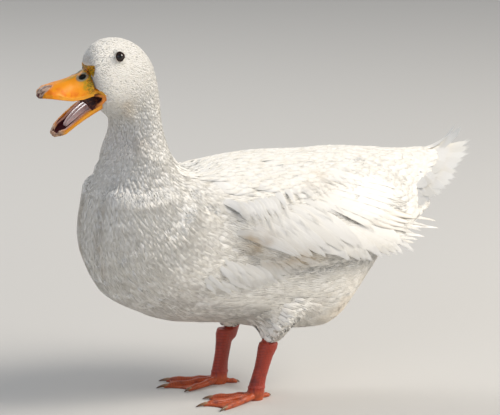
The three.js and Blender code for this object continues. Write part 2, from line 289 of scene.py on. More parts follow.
# ---------------------------------------------------------------- the head's own frame
@dataclass(frozen=True)
class HeadFrame:
    """Where the head points: forward along the bill, to the duck's right, and up.

    Attributes:
        pivot: The point that the head turns about.
        yaw: Its turn towards the duck's left.
        roll: How far the left cheek is lowered.
    """

    pivot: tuple[float, float, float] = (-0.1638, 0.0, 0.392)
    yaw: float = math.radians(8)
    roll: float = math.radians(14)

    def matrix(self) -> Array:
        """Returns the turn from the head's axes to the world's."""
        turn = Matrix.Rotation(self.yaw, 3, "Z") @ Matrix.Rotation(self.roll, 3, "X")
        return np.array(turn)

    def to_head(self, points: Array) -> Array:
        """Returns world points as forward, right and height in the head's frame."""
        local = (np.asarray(points) - self.pivot) @ self.matrix()
        return local * (-1, 1, 1) + (0, 0, self.pivot[2])

    def parts(self, points: Array) -> Array:
        """Returns world points as three blocks: forward, right and height, in mm."""
        return np.moveaxis(self.to_head(points) / MM, -1, 0)

    def to_world(self, points: Array) -> Array:
        """Returns points of the head's frame, given as forward, right and height."""
        local = (np.asarray(points) - (0, 0, self.pivot[2])) * (-1, 1, 1)
        return local @ self.matrix().T + self.pivot


HEAD = HeadFrame()


# ---------------------------------------------------------------- sculpting by distance
@dataclass
class Clay:
    """A block of signed distances to a surface, negative inside it.

    Attributes:
        first: Number of the block's first cell along each axis.
        cell: Side of a cell.
        values: The distance at each cell, cut off a few cells from the surface.
    """

    first: Array
    cell: float
    values: Array
    band = 7  # cells on each side of the surface whose distance is kept

    @classmethod
    def between(cls, low: Array, high: Array, cell: float) -> "Clay":
        """Makes a block that isn't filled yet.

        Args:
            low: Its lowest corner.
            high: Its highest corner.
            cell: Side of a cell.

        Returns:
            The block.
        """
        first = np.floor(low / cell).astype(int)
        last = np.ceil(high / cell).astype(int)
        return cls(first, cell, np.empty(last - first + 1, np.float32))

    @classmethod
    def around(cls, points: Array, faces: Array, cell: float, room: float) -> "Clay":
        """Fills a block with the distances to a closed mesh.

        Args:
            points: The mesh's vertices.
            faces: Its triangles or quads.
            cell: Side of a cell.
            room: Clear space kept round the mesh.

        Returns:
            The block.
        """
        clay = cls.between(points.min(0) - room, points.max(0) + room, cell)
        clay.values = clay.distance_to(points, faces)
        return clay

    def distance_to(self, points: Array, faces: Array) -> Array:
        """Returns the distances to another closed mesh at this block's cells.

        Args:
            points: The mesh's vertices.
            faces: Its triangles or quads.

        Returns:
            The distances, negative inside the mesh.
        """
        kind = "triangles" if faces.shape[1] == 3 else "quads"
        grid = openvdb.FloatGrid.createLevelSetFromPolygons(
            points.astype(np.float32),
            **{kind: faces.astype(np.uint32)},
            transform=openvdb.createLinearTransform(voxelSize=self.cell),
            halfWidth=self.band,
        )
        values = np.empty(self.values.shape, np.float32)
        grid.copyToArray(values, ijk=tuple(int(i) for i in self.first))
        return values

    def places(self) -> Array:
        """Returns the place of every cell."""
        axes = [(f + np.arange(n)) * self.cell for f, n in zip(self.first, self.values.shape)]
        return np.stack(np.meshgrid(*axes, indexing="ij"), axis=-1)

    def fired(self, name: str, value: Array, rounds: int, finish: Material) -> Object:
        """Makes the piece whose distances, in mm, are given.

        Args:
            name: The piece's name.
            value: The new distances at the cells.
            rounds: How many times its surface is smoothed.
            finish: Its material.

        Returns:
            The piece.
        """
        self.values = (value * MM).astype(np.float32)
        return make_object(name, *self.surface(0.0, rounds), finish)

    def surface(self, level: float, rounds: int) -> tuple[Array, Array]:
        """Draws the surface at a distance, keeps its largest piece and smooths it.

        Args:
            level: The distance, positive outside the old surface.
            rounds: How many times the surface is smoothed.

        Returns:
            The vertices' places and the quads' vertex numbers, facing out.
        """
        grid = openvdb.FloatGrid(self.band * self.cell)
        grid.copyFromArray(self.values, ijk=tuple(int(i) for i in self.first))
        grid.transform = openvdb.createLinearTransform(voxelSize=self.cell)
        points, quads = grid.convertToQuads(isovalue=level)
        points, quads = largest_piece(points.astype(float), quads.astype(np.int64))
        points = relax(points, quads, rounds)
        a, b, c, d = (points[quads[:, i]] for i in range(4))
        if (np.cross(c - a, d - b) * (a + b + c + d)).sum() < 0:
            quads = quads[:, ::-1]
        return points, quads


def edges_of(faces: Array) -> Array:
    """Returns each edge of a mesh once, as two vertex numbers."""
    pairs = np.concatenate([faces[:, [i, (i + 1) % faces.shape[1]]] for i in range(faces.shape[1])])
    return np.unique(np.sort(pairs, axis=1), axis=0)


def largest_piece(points: Array, faces: Array) -> tuple[Array, Array]:
    """Keeps the largest of the separate pieces of a mesh.

    Args:
        points: The vertices.
        faces: The faces' vertex numbers.

    Returns:
        The vertices and faces of that piece.
    """
    edges = edges_of(faces)
    label = np.arange(len(points))
    while True:
        low = np.minimum(label[edges[:, 0]], label[edges[:, 1]])
        lower = label.copy()
        np.minimum.at(lower, edges[:, 0], low)
        np.minimum.at(lower, edges[:, 1], low)
        lower = lower[lower]
        if (lower == label).all():
            break
        label = lower
    keep = label == np.bincount(label).argmax()
    number = np.cumsum(keep) - 1
    return points[keep], number[faces[keep[faces[:, 0]]]]


def relax(points: Array, faces: Array, rounds: int) -> Array:
    """Smooths a mesh without shrinking it.

    Args:
        points: The vertices.
        faces: The faces' vertex numbers.
        rounds: How many times it is smoothed.

    Returns:
        The new places.
    """
    edges = edges_of(faces)
    ends = np.concatenate([edges, edges[:, ::-1]])
    many = np.bincount(ends[:, 0], minlength=len(points))[:, None]
    for weight in (0.5, -0.52) * rounds:
        total = np.stack(
            [np.bincount(ends[:, 0], points[ends[:, 1], i], len(points)) for i in range(3)], axis=1
        )
        points = points + weight * (total / many - points)
    return points


# ---------------------------------------------------------------- the lie of the coat
class Region(Enum):
    """Regions of the coat, each made as a piece or two of its own."""

    FACE = 0
    CROWN = 1
    NECK = 2
    BREAST = 3
    BACK = 4
    WING = 5
    FLANK = 6
    BELLY = 7
    THIGH = 8
    TAIL = 9


# Guides for the coat on the left half of the body: the region, the guide's place and the way
# that the feathers point there, then the feathers' length and width, the depth of the coat and
# how far the guide reaches. Places and sizes are in millimetres.
GUIDES = (
    (Region.FACE, (-222, 0, 408), (0.6, 0, 0.8), 5, 1.7, 1.1, 14),
    (Region.FACE, (-212, 18, 386), (1, 0.2, 0.1), 4.6, 1.7, 1.1, 14),
    (Region.FACE, (-188, 25, 410), (1, 0.1, -0.05), 5.2, 1.8, 1.1, 16),
    (Region.FACE, (-192, 26, 372), (1, 0.05, -0.25), 6, 2, 1.3, 16),
    (Region.FACE, (-200, 8, 345), (0.75, 0, -0.6), 6.4, 2.1, 1.4, 16),
    (Region.CROWN, (-192, 0, 430), (1, 0, 0.05), 6.2, 2, 1.2, 18),
    (Region.CROWN, (-160, 24, 398), (0.85, 0.05, -0.5), 7.4, 2.3, 1.4, 18),
    (Region.CROWN, (-148, 0, 416), (0.7, 0, -0.7), 7.8, 2.4, 1.4, 18),
    (Region.CROWN, (-168, 28, 352), (0.55, 0.1, -0.8), 8.6, 2.6, 1.6, 18),
    (Region.NECK, (-128, 0, 384), (0.25, 0, -1), 11, 2.9, 1.8, 20),
    (Region.NECK, (-148, 32, 345), (0.12, 0.05, -1), 12, 3, 2, 20),
    (Region.NECK, (-181, 0, 316), (0, 0, -1), 12, 3, 2, 20),
    (Region.NECK, (-150, 42, 305), (0.1, 0.2, -1), 15, 3.4, 2.4, 22),
    (Region.NECK, (-118, 0, 330), (0.15, 0, -1), 16, 3.6, 2.4, 22),
    (Region.NECK, (-197, 0, 280), (-0.25, 0, -1), 16, 3.6, 2.4, 22),
    (Region.BREAST, (-150, 58, 268), (0.25, 0.3, -1), 20, 4.4, 2.8, 26),
    (Region.BREAST, (-218, 0, 225), (-0.02, 0.1, -1), 24, 4.8, 3, 34),
    (Region.BREAST, (-205, 0, 150), (0.45, 0.1, -1), 27, 5.2, 3.4, 34),
    (Region.BREAST, (-165, 68, 210), (0.45, 0.2, -1), 27, 5, 3.2, 30),
    (Region.BREAST, (-150, 70, 155), (0.9, 0, -0.6), 30, 5.6, 3.6, 30),
    (Region.BREAST, (-112, 76, 235), (0.75, 0.2, -0.6), 30, 6, 3.6, 28),
    (Region.BACK, (-102, 0, 284), (0.75, 0, -0.5), 26, 8, 3.4, 24),
    (Region.BACK, (-60, 30, 278), (1, 0.15, -0.05), 32, 9.5, 4, 32),
    (Region.BACK, (0, 0, 284), (1, 0, 0), 32, 10, 4, 40),
    (Region.BACK, (80, 0, 284), (1, 0, 0), 32, 10, 4, 40),
    (Region.BACK, (30, 62, 266), (1, 0.1, -0.2), 30, 8.5, 4, 34),
    (Region.BACK, (140, 0, 280), (1, 0, 0.05), 30, 9.5, 4, 34),
    (Region.WING, (-80, 88, 222), (0.9, 0, -0.45), 28, 8, 4, 26),
    (Region.WING, (-15, 95, 215), (1, 0, -0.3), 32, 9, 4.5, 34),
    (Region.WING, (70, 92, 212), (1, 0, -0.2), 36, 12, 4.5, 34),
    (Region.FLANK, (-110, 80, 150), (1, 0, -0.35), 34, 8, 4.5, 30),
    (Region.FLANK, (-40, 86, 145), (1, 0, -0.08), 36, 9, 5, 30),
    (Region.FLANK, (35, 84, 148), (1, 0, 0.1), 36, 9, 5, 30),
    (Region.BELLY, (-150, 15, 105), (1, 0, -0.3), 32, 8, 4, 34),
    (Region.BELLY, (-60, 0, 86), (1, 0, 0), 34, 9, 4, 36),
    (Region.BELLY, (-45, 58, 102), (1, 0.1, 0), 34, 8.5, 4.5, 30),
    (Region.BELLY, (55, 25, 74), (1, 0, 0.05), 36, 9, 5, 34),
    (Region.BELLY, (112, 0, 92), (0.75, 0, 0.7), 36, 9, 5, 32),
    (Region.BELLY, (118, 55, 130), (0.9, 0, 0.45), 36, 9, 5, 32),
    (Region.THIGH, (12, 58, 104), (0.35, 0, -1), 26, 6, 3.6, 20),
    (Region.THIGH, (-6, 48, 76), (-0.05, 0, -1), 15, 4, 2.4, 14),
    (Region.TAIL, (150, 0, 150), (0.6, 0, 0.85), 32, 9, 4, 30),
    (Region.TAIL, (200, 0, 276), (1, 0, 0.15), 30, 9.5, 2.6, 30),
    (Region.TAIL, (195, 38, 240), (1, 0.3, 0.2), 28, 9, 2.6, 26),
    (Region.TAIL, (192, 0, 205), (0.8, 0, 0.6), 30, 9, 3, 28),
)


NECK_END = (0.32, 0.36)  # the heights between which the neck passes into the head


def on_head(points: Array) -> Array:
    """Returns one for points on the head, falling to zero down the neck."""
    return smoothstep(points[:, 2], *NECK_END)[:, None]


@dataclass(frozen=True)
class CoatMap:
    """What the coat does at every place of the body, spread smoothly from the guides."""

    def weights(self, points: Array) -> Array:
        """Returns each guide's share at each point.

        Args:
            points: The points, one row each.

        Returns:
            One row for each point; a row's shares add up to one.
        """
        mirrored = points * (1, 0, 1) + np.abs(points) * (0, 1, 0)
        places = np.array([g[1] for g in GUIDES]) * MM
        reach = np.array([g[6] for g in GUIDES]) * MM
        apart = ((mirrored[:, None, :] - places) ** 2).sum(-1)
        weight = np.exp(-0.5 * apart / reach**2) + 1e-12
        return weight / weight.sum(1, keepdims=True)

    def lie(self, points: Array, normals: Array) -> Array:
        """Returns the way that feathers point at each point, along the surface there.

        Args:
            points: The points, one row each.
            normals: The ways out of the skin there.

        Returns:
            The ways, at length one.
        """
        ways = unit(np.array([g[2] for g in GUIDES], float))
        way = self.weights(points) @ ways
        way[:, 1] *= np.where(points[:, 1] < 0, -1, 1)
        way = unit(way - normals * (way * normals).sum(1, keepdims=True))
        stray = 0.11 * ripples(points, 8, (0.03, 0.08))[:, None] * (1 - 0.6 * on_head(points))
        return way * np.cos(stray) + np.cross(normals, way) * np.sin(stray)

    def sizes(self, points: Array) -> Array:
        """Returns the feathers' width and length and the coat's depth at each point.

        Args:
            points: The points, one row each.

        Returns:
            One row of three sizes for each point.
        """
        sizes = self.weights(points) @ np.array([(g[4], g[3], g[5]) for g in GUIDES]) * MM
        # Towards the eye they get as short as the room in front of its lids.
        along, beside = eye_reach(HEAD.to_head(points) / MM)
        room = np.where(along > 0, beside - 3.4, 99) * MM
        share = np.clip(room / sizes[:, 1], 0.3, 1)[:, None]
        return sizes * (1 - (1 - share) * (0.4, 1, 0.4))

    def regions(self, points: Array) -> Array:
        """Returns the number of the region that each point is in.

        Args:
            points: The points, one row each.

        Returns:
            The regions' numbers.
        """
        numbers = np.array([g[0].value for g in GUIDES])
        shares = self.weights(points)
        total = np.stack([shares[:, numbers == r.value].sum(1) for r in Region], axis=1)
        return total.argmax(1)


# ---------------------------------------------------------------- finishes
def new_material(name: str) -> tuple[Material, Node, Callable]:
    """Makes a material and returns it with its main shader and what adds nodes to it.

    Args:
        name: The material's name.

    Returns:
        The material, the shader, and a function that is add_node for this material.
    """
    material = bpy.data.materials.new(name)
    material.use_nodes = True
    tree = material.node_tree
    return material, tree.nodes["Principled BSDF"], partial(add_node, tree)


@dataclass(frozen=True)
class Plumage:
    """Finish of the white feathers.

    Attributes:
        white: Their main colour.
        cream: The older feathers, and painted shade at each feather's root.
        stain: The patches that mud and preening have yellowed, and painted shade under the cheek, in
            the breast's middle crease and on the underside.
        gilt: The brownish edges of the longest feathers.
    """

    white: str = "#F7F5F0"
    cream: str = "#E9E3D4"
    stain: str = "#C2A77C"
    gilt: str = "#86662E"

    def make(self) -> Material:
        """Makes the material, which reads the numbers stored on the skin and the feathers.

        Returns:
            The material.
        """
        # Keratin without pigment: matt, white all through, with a faint silky sheen.
        material, shader, add = new_material("white feather keratin")
        read = {
            name: add("ShaderNodeAttribute", {}, 2, attribute_name=name)
            for name in ("tone", "stain", "gilt")
        }
        vane = add("ShaderNodeAttribute", {}, 1, attribute_name="vane")
        place = add("ShaderNodeTexCoord", {}, 3)
        across = add("ShaderNodeSeparateXYZ", {0: vane}, 0)
        along = add("ShaderNodeSeparateXYZ", {0: vane}, 1)
        aside = add("ShaderNodeMath", {0: across, 1: 0.5}, operation="SUBTRACT")
        aside = add("ShaderNodeMath", {0: aside}, operation="ABSOLUTE")
        # Strands of barbs: a dozen to a feather, about 1 mm each, and patches 25 mm across.
        shift = add("ShaderNodeMath", {0: read["tone"], 1: 53.0}, operation="MULTIPLY")
        shift = add("ShaderNodeCombineXYZ", {0: shift, 1: shift})
        strands = add("ShaderNodeMapping", {0: vane, 1: shift, 3: (12.0, 1.4, 1.0)})
        strand = add("ShaderNodeTexNoise", {"Vector": strands, "Scale": 1.0})
        patch = add("ShaderNodeTexNoise", {"Vector": place, "Scale": 40.0})
        # Barbs run out and back from the shaft. Real ones are 0.3 mm apart, too fine to show, so
        # these are about 1 mm apart.
        turn = add("ShaderNodeMath", {0: aside, 1: 60.0}, operation="MULTIPLY")
        turn = add("ShaderNodeMath", {0: along, 1: 320.0, 2: turn}, operation="MULTIPLY_ADD")
        barbs = add("ShaderNodeMath", {0: turn}, operation="SINE")
        edge = add("ShaderNodeMapRange", {0: aside, 1: 0.12, 2: 0.45})
        colour: object = linear(self.white)
        layers = (
            (self.cream, read["tone"], 0.4, 1.0, None, 0.35),
            # Painted shade: each feather turns cream towards its root, where the feathers over it
            # would shade it.
            (self.cream, along, 0.4, 0.0, None, 0.3),
            # Stains, and painted shade under the cheek, in the breast's middle crease and on the
            # underside, where the stored map puts them.
            (self.stain, patch, 0.35, 0.6, read["stain"], 0.9),
            (self.stain, strand, 0.45, 0.65, read["stain"], 0.5),
            (self.gilt, edge, 0.0, 1.0, read["gilt"], 0.9),
        )
        for hue, pattern, low, high, mask, strength in layers:
            share = add("ShaderNodeMapRange", {0: pattern, 1: low, 2: high, 3: 0.0, 4: strength})
            if mask:
                share = add("ShaderNodeMath", {0: share, 1: mask}, operation="MULTIPLY")
            colour = add("ShaderNodeMix", {0: share, 6: colour, 7: linear(hue)}, 2, data_type="RGBA")
        relief = add("ShaderNodeMath", {0: barbs, 1: 0.08, 2: strand}, operation="MULTIPLY_ADD")
        bump = add("ShaderNodeBump", {"Strength": 0.14, "Distance": 0.0005, "Height": relief})
        finish = {
            "Base Color": colour,
            "Normal": bump,
            "Roughness": 0.62,
            "Specular IOR Level": 0.3,
            "Sheen Weight": 0.08,
        }
        feed(shader, finish)
        return material


# Where the white is stained, and where shade is painted on like a stain: the middle of each patch on
# the left half of the body and how far it reaches along, aside and up, in millimetres, and how strong
# it is.
STAINS_AND_SHADE = (
    ((-52, 95, 197), (22, 24, 13), 0.8),
    ((-12, 97, 176), (28, 24, 12), 0.7),
    ((35, 74, 262), (20, 20, 8), 0.45),
    # Under the cheek and down the neck: dirt, and painted shade under the cheek.
    ((-178, 24, 352), (16, 16, 16), 0.45),
    ((-160, 26, 312), (14, 14, 14), 0.25),
    # The breast's middle crease: painted shade.
    ((-212, 26, 240), (8, 7, 22), 0.5),
    ((-216, 24, 195), (8, 6, 30), 0.55),
    # The belly and the vent: real stains, and painted shade of the underside.
    ((-75, 0, 70), (110, 80, 30), 0.45),
    ((90, 20, 90), (60, 70, 36), 0.55),
)


def stains_and_shade(points: Array) -> Array:
    """Returns how stained the feathers are at each point, with the painted shade that the table adds,
    from zero to one.

    Args:
        points: The points, one row each.

    Returns:
        The strength of the stains and of the painted shade.
    """
    mirrored = points * (1, 0, 1) + np.abs(points) * (0, 1, 0)
    total = np.zeros(len(points))
    for middle, reach, strength in STAINS_AND_SHADE:
        apart = (mirrored / MM - middle) / reach
        total = np.maximum(total, strength * np.exp(-(apart**2).sum(1)))
    return total


# ---------------------------------------------------------------- bare parts of the head
EYE_PLACE = np.array([24.5, 18.0, 414.5])  # the right eye's centre in the head's frame, in mm
EYE_WAY = np.array([0.30, 0.85, 0.40])  # the way it looks: forward, out and up
BARE_ROUND_EYE = 5.3
CUFF_HEIGHT = 66 * MM  # where the feathers of the thighs end
MOUTH = np.array([(34, 367), (46, 356), (79, 333), (79, 368.5), (42, 368.5)], float)


def bill_border(points: Array) -> Array:
    """Returns how far points in the head's frame, in mm, lie in front of the feathers' edge.

    Args:
        points: The points: forward, right and height.

    Returns:
        The distance, below zero where the head is feathered.
    """
    forward, right, height = np.moveaxis(points, -1, 0)
    top = np.where(right < 0, -0.36 * np.maximum(right, -13), -0.25 * np.minimum(right, 6))
    heights = (360, 367, 371, 374, 375.6, 379.2, 392.7, 406)
    edge = np.interp(height, heights, (30, 34, 38, 41, 45, 50.3, 51.3, 52))
    return np.minimum(forward - edge, 399.8 + top - height)


def inside_outline(forward: Array, height: Array, outline: Array) -> Array:
    """Returns how far points lie outside a convex outline with soft corners, below zero inside.

    Args:
        forward: The points' first coordinate, in mm.
        height: Their second one.
        outline: The outline's corners.

    Returns:
        The distance to its sides, blended where two of them are about as far.
    """
    soft = 1.1
    following = np.roll(outline, -1, axis=0)
    area = (outline[:, 0] * following[:, 1] - following[:, 0] * outline[:, 1]).sum()
    total = np.zeros(np.shape(forward))
    for (f, h), (g, k) in zip(outline, following):
        long = math.hypot(g - f, k - h) * np.sign(area)
        away = ((k - h) * (forward - f) - (g - f) * (height - h)) / long
        total += np.exp(np.clip(away / soft, -60, 60))
    return soft * np.log(total)


def bare_zone(points: Array) -> Array:
    """Tells which points of the skin bear no feathers: at the bill, mouth, eyes and shanks.

    Args:
        points: World points, one row each.

    Returns:
        Whether each of them is bare.
    """
    place = HEAD.to_head(points) / MM
    forward, right, height = place.T
    above_neck = forward > 0
    at_bill = (bill_border(place) > 0.5) & (height < 409) & (height > 366)
    in_mouth = (inside_outline(forward, height, MOUTH) < 0.4) & (np.abs(right) < 21)
    along, apart = eye_reach(place)
    at_eye = (apart < BARE_ROUND_EYE) & (along > 0)
    return above_neck & (at_bill | in_mouth | at_eye) | (points[:, 2] < CUFF_HEIGHT)


def eye_reach(place: Array) -> tuple[Array, Array]:
    """Returns how far places in the head's frame lie along the nearer eye's axis and beside it.

    Args:
        place: The places: forward, right and height, in mm.

    Returns:
        Both distances, in mm.
    """
    from_middle = place * (1, 0, 1) + np.abs(place) * (0, 1, 0) - EYE_PLACE
    along = from_middle @ unit(EYE_WAY)
    return along, np.sqrt(np.maximum((from_middle**2).sum(-1) - along**2, 0))


# ---------------------------------------------------------------- skin
# Folds of the neck and the breast, on both sides: each one's line, how wide it is and how far it
# stands up, in millimetres.
FOLDS = (
    (((-169, 12, 346), (-166, 16, 334), (-162, 22, 316), (-157, 28, 305)), 5.5, 3.6),
    (((-155, 22, 342), (-156, 26, 328), (-154, 32, 316)), 6.5, -3.6),
    (((-186, 10, 300), (-169, 28, 298), (-152, 38, 298), (-133, 38, 293), (-118, 30, 302)), 8.5, 3.6),
    (((-192, 18, 279), (-178, 38, 279), (-158, 50, 279), (-134, 52, 276)), 6.0, -3.0),
    (((-200, 22, 264), (-186, 43, 264), (-161, 58, 264), (-137, 60, 264)), 6.0, -3.6),
    (((-206, 22, 252), (-186, 50, 251), (-163, 62, 251), (-136, 64, 254)), 10.0, 3.6),
    (((-194, 26, 270), (-207, 24, 247), (-213, 24, 229), (-216, 26, 211)), 6.5, -6.5),
    (((-216, 26, 211), (-216, 23, 184), (-211, 20, 162)), 6.5, -6.0),
    (((-196, 44, 250), (-204, 44, 225), (-204, 42, 190)), 12.0, 2.4),
    (((-101, 38, 266), (-109, 65, 256), (-122, 80, 236), (-136, 84, 213)), 10.0, 2.6),
    (((-104, 72, 246), (-90, 80, 238), (-74, 90, 218), (-58, 97, 202)), 9.0, -8.0),
)
FLESH = ("head", "neck", "trunk", "tail", "wing_left", "wing_right", "thigh_left", "thigh_right")


@dataclass
class Skin:
    """The one skin under the whole coat.

    Attributes:
        cell: Side of the cells that it is sculpted in.
        closing: Half the widest gap that is closed over on the head and on the body.
        thinnest: Half the thickness below which the body's thin edges are left out.
        rounds: How many times it is smoothed.
        smoothing: How many times the ways out of it are evened out for the feathers.
        eye_seat: Radius of the skin's swelling round each eye, in mm.
        eye_hole: Radius of the hole that the eye looks through, in mm.
        cuff_inset: How far inside the shanks it ends.
        cuff_depth: How far down inside the shanks it ends, from the feathers' lower edge.
        lumps: How high the loose skin's soft lumps are, in mm.
    """

    cell: float = 2.1 * MM
    closing: tuple[float, float] = (1.4 * MM, 12.0 * MM)
    thinnest: float = 3.2 * MM
    rounds: int = 6
    smoothing: int = 3
    eye_seat: float = 7.2
    eye_hole: float = 5.6
    cuff_inset: float = 1.2 * MM
    cuff_depth: float = 14 * MM
    lumps: float = 0.7

    def build(self, coat: CoatMap, finish: Material) -> Object:
        """Sculpts the skin inside the solids by the coat's depth.

        Args:
            coat: The map of the coat.
            finish: The skin's material.

        Returns:
            The skin, with the coat's map stored on it.
        """
        clay = Clay.around(*node_surface(*FLESH), self.cell, 6 * self.cell)
        places = clay.places()
        head, body = (
            clay.distance_to(*clay.surface(closing, 2)) + closing for closing in self.closing
        )
        share = on_head(places.reshape(-1, 3)).reshape(head.shape)
        clay.values = lerp(body, head, share).astype(np.float32)
        clay.values = clay.distance_to(*clay.surface(0.0, 1)).astype(np.float32)
        near = np.abs(clay.values) < (clay.band - 1) * self.cell
        places = places[near]
        clay.values[near] += (coat.sizes(places)[:, 2] - self.swelling(places)).astype(np.float32)
        body = clay.distance_to(*clay.surface(-self.thinnest, 5)) - self.thinnest
        clay.values = lerp(body, clay.values, share).astype(np.float32)
        self.seat_eyes(clay)
        self.cover_hocks(clay)
        skin = make_object("skin", *clay.surface(0.0, self.rounds), finish)
        self.store_map(skin, coat)
        return skin

    def swelling(self, places: Array) -> Array:
        """Returns how far the folds and the loose skin's soft lumps lift the skin.

        Args:
            places: The places, one row each.

        Returns:
            The lift, in metres.
        """
        mirrored = places * (1, 0, 1) + np.abs(places) * (0, 1, 0)
        loose = smoothstep(-places[:, 2], -0.33, -0.29)
        lift = ripples(places, 3, (0.035, 0.09)) * self.lumps * MM * loose
        for line, reach, height in FOLDS:
            corners = np.array(line) * MM
            apart = np.full(len(places), np.inf)
            for start, end in zip(corners, corners[1:]):
                way = end - start
                share = np.clip((mirrored - start) @ way / (way @ way), 0, 1)
                gap = np.linalg.norm(mirrored - start - share[:, None] * way, axis=1)
                apart = np.minimum(apart, gap)
            lift += height * MM * np.exp(-((apart / (reach * MM)) ** 2))
        return lift

    def seat_eyes(self, clay: Clay) -> None:
        """Rounds the skin up to the lids, so that the eyes sit in it and do not stand proud.

        Args:
            clay: The skin's block of distances.
        """
        place = HEAD.to_head(clay.places()) / MM
        for side in (-1, 1):
            apart = np.linalg.norm(place - EYE_PLACE * (1, side, 1), axis=-1)
            ball = ((apart - self.eye_seat) * MM).astype(np.float32)
            clay.values = round_over(clay.values, ball, 6 * MM).astype(np.float32)
        along, beside = eye_reach(place)
        hole = np.minimum(along - 1.5, self.eye_hole - beside) * MM
        clay.values = np.maximum(clay.values, hole.astype(np.float32))

    def cover_hocks(self, clay: Clay) -> None:
        """Carries the skin down inside the tops of the shanks, for the last feathers to hang over.

        Args:
            clay: The skin's block of distances.
        """
        shanks = clay.distance_to(*node_surface("shank_left", "shank_right")) + self.cuff_inset
        cuff = np.maximum(shanks, CUFF_HEIGHT - self.cuff_depth - clay.places()[..., 2])
        clay.values = round_over(clay.values, cuff.astype(np.float32), 2 * MM).astype(np.float32)

    def store_map(self, skin: Object, coat: CoatMap) -> None:
        """Stores the coat's map on the skin, for the feathers to read.

        Args:
            skin: The skin.
            coat: The map of the coat.
        """
        mesh = skin.data
        places, normals = vertex_places(mesh), vertex_normals(mesh)
        links = edges_of(np.array([face.vertices for face in mesh.polygons]))
        for _ in range(self.smoothing):
            summed = normals.copy()
            np.add.at(summed, links[:, 0], normals[links[:, 1]])
            np.add.at(summed, links[:, 1], normals[links[:, 0]])
            normals = unit(summed)
        centres = gathered(mesh.polygons, "center")
        set_attribute(mesh, "out", "FLOAT_VECTOR", "POINT", normals)
        set_attribute(mesh, "lie", "FLOAT_VECTOR", "POINT", coat.lie(places, normals))
        set_attribute(mesh, "feather", "FLOAT_VECTOR", "POINT", coat.sizes(places))
        regions = np.where(bare_zone(centres), -1, coat.regions(centres))
        set_attribute(mesh, "region", "INT", "FACE", regions)
        set_attribute(mesh, "stain", "FLOAT", "POINT", stains_and_shade(places))
        set_attribute(mesh, "tone", "FLOAT", "POINT", np.full(len(places), 0.5))
        self.unwrap(skin)

    def unwrap(self, skin: Object) -> None:
        """Unwraps the skin's own shape into the bake map.

        Args:
            skin: The skin.
        """
        skin.data.uv_layers.new(name=BAKE_MAP)
        bpy.context.view_layer.objects.active = skin
        skin.select_set(True)
        bpy.ops.object.mode_set(mode="EDIT")
        bpy.ops.mesh.select_all(action="SELECT")
        bpy.ops.uv.smart_project(angle_limit=math.radians(66), island_margin=0.004)
        bpy.ops.object.mode_set(mode="OBJECT")
        skin.select_set(False)


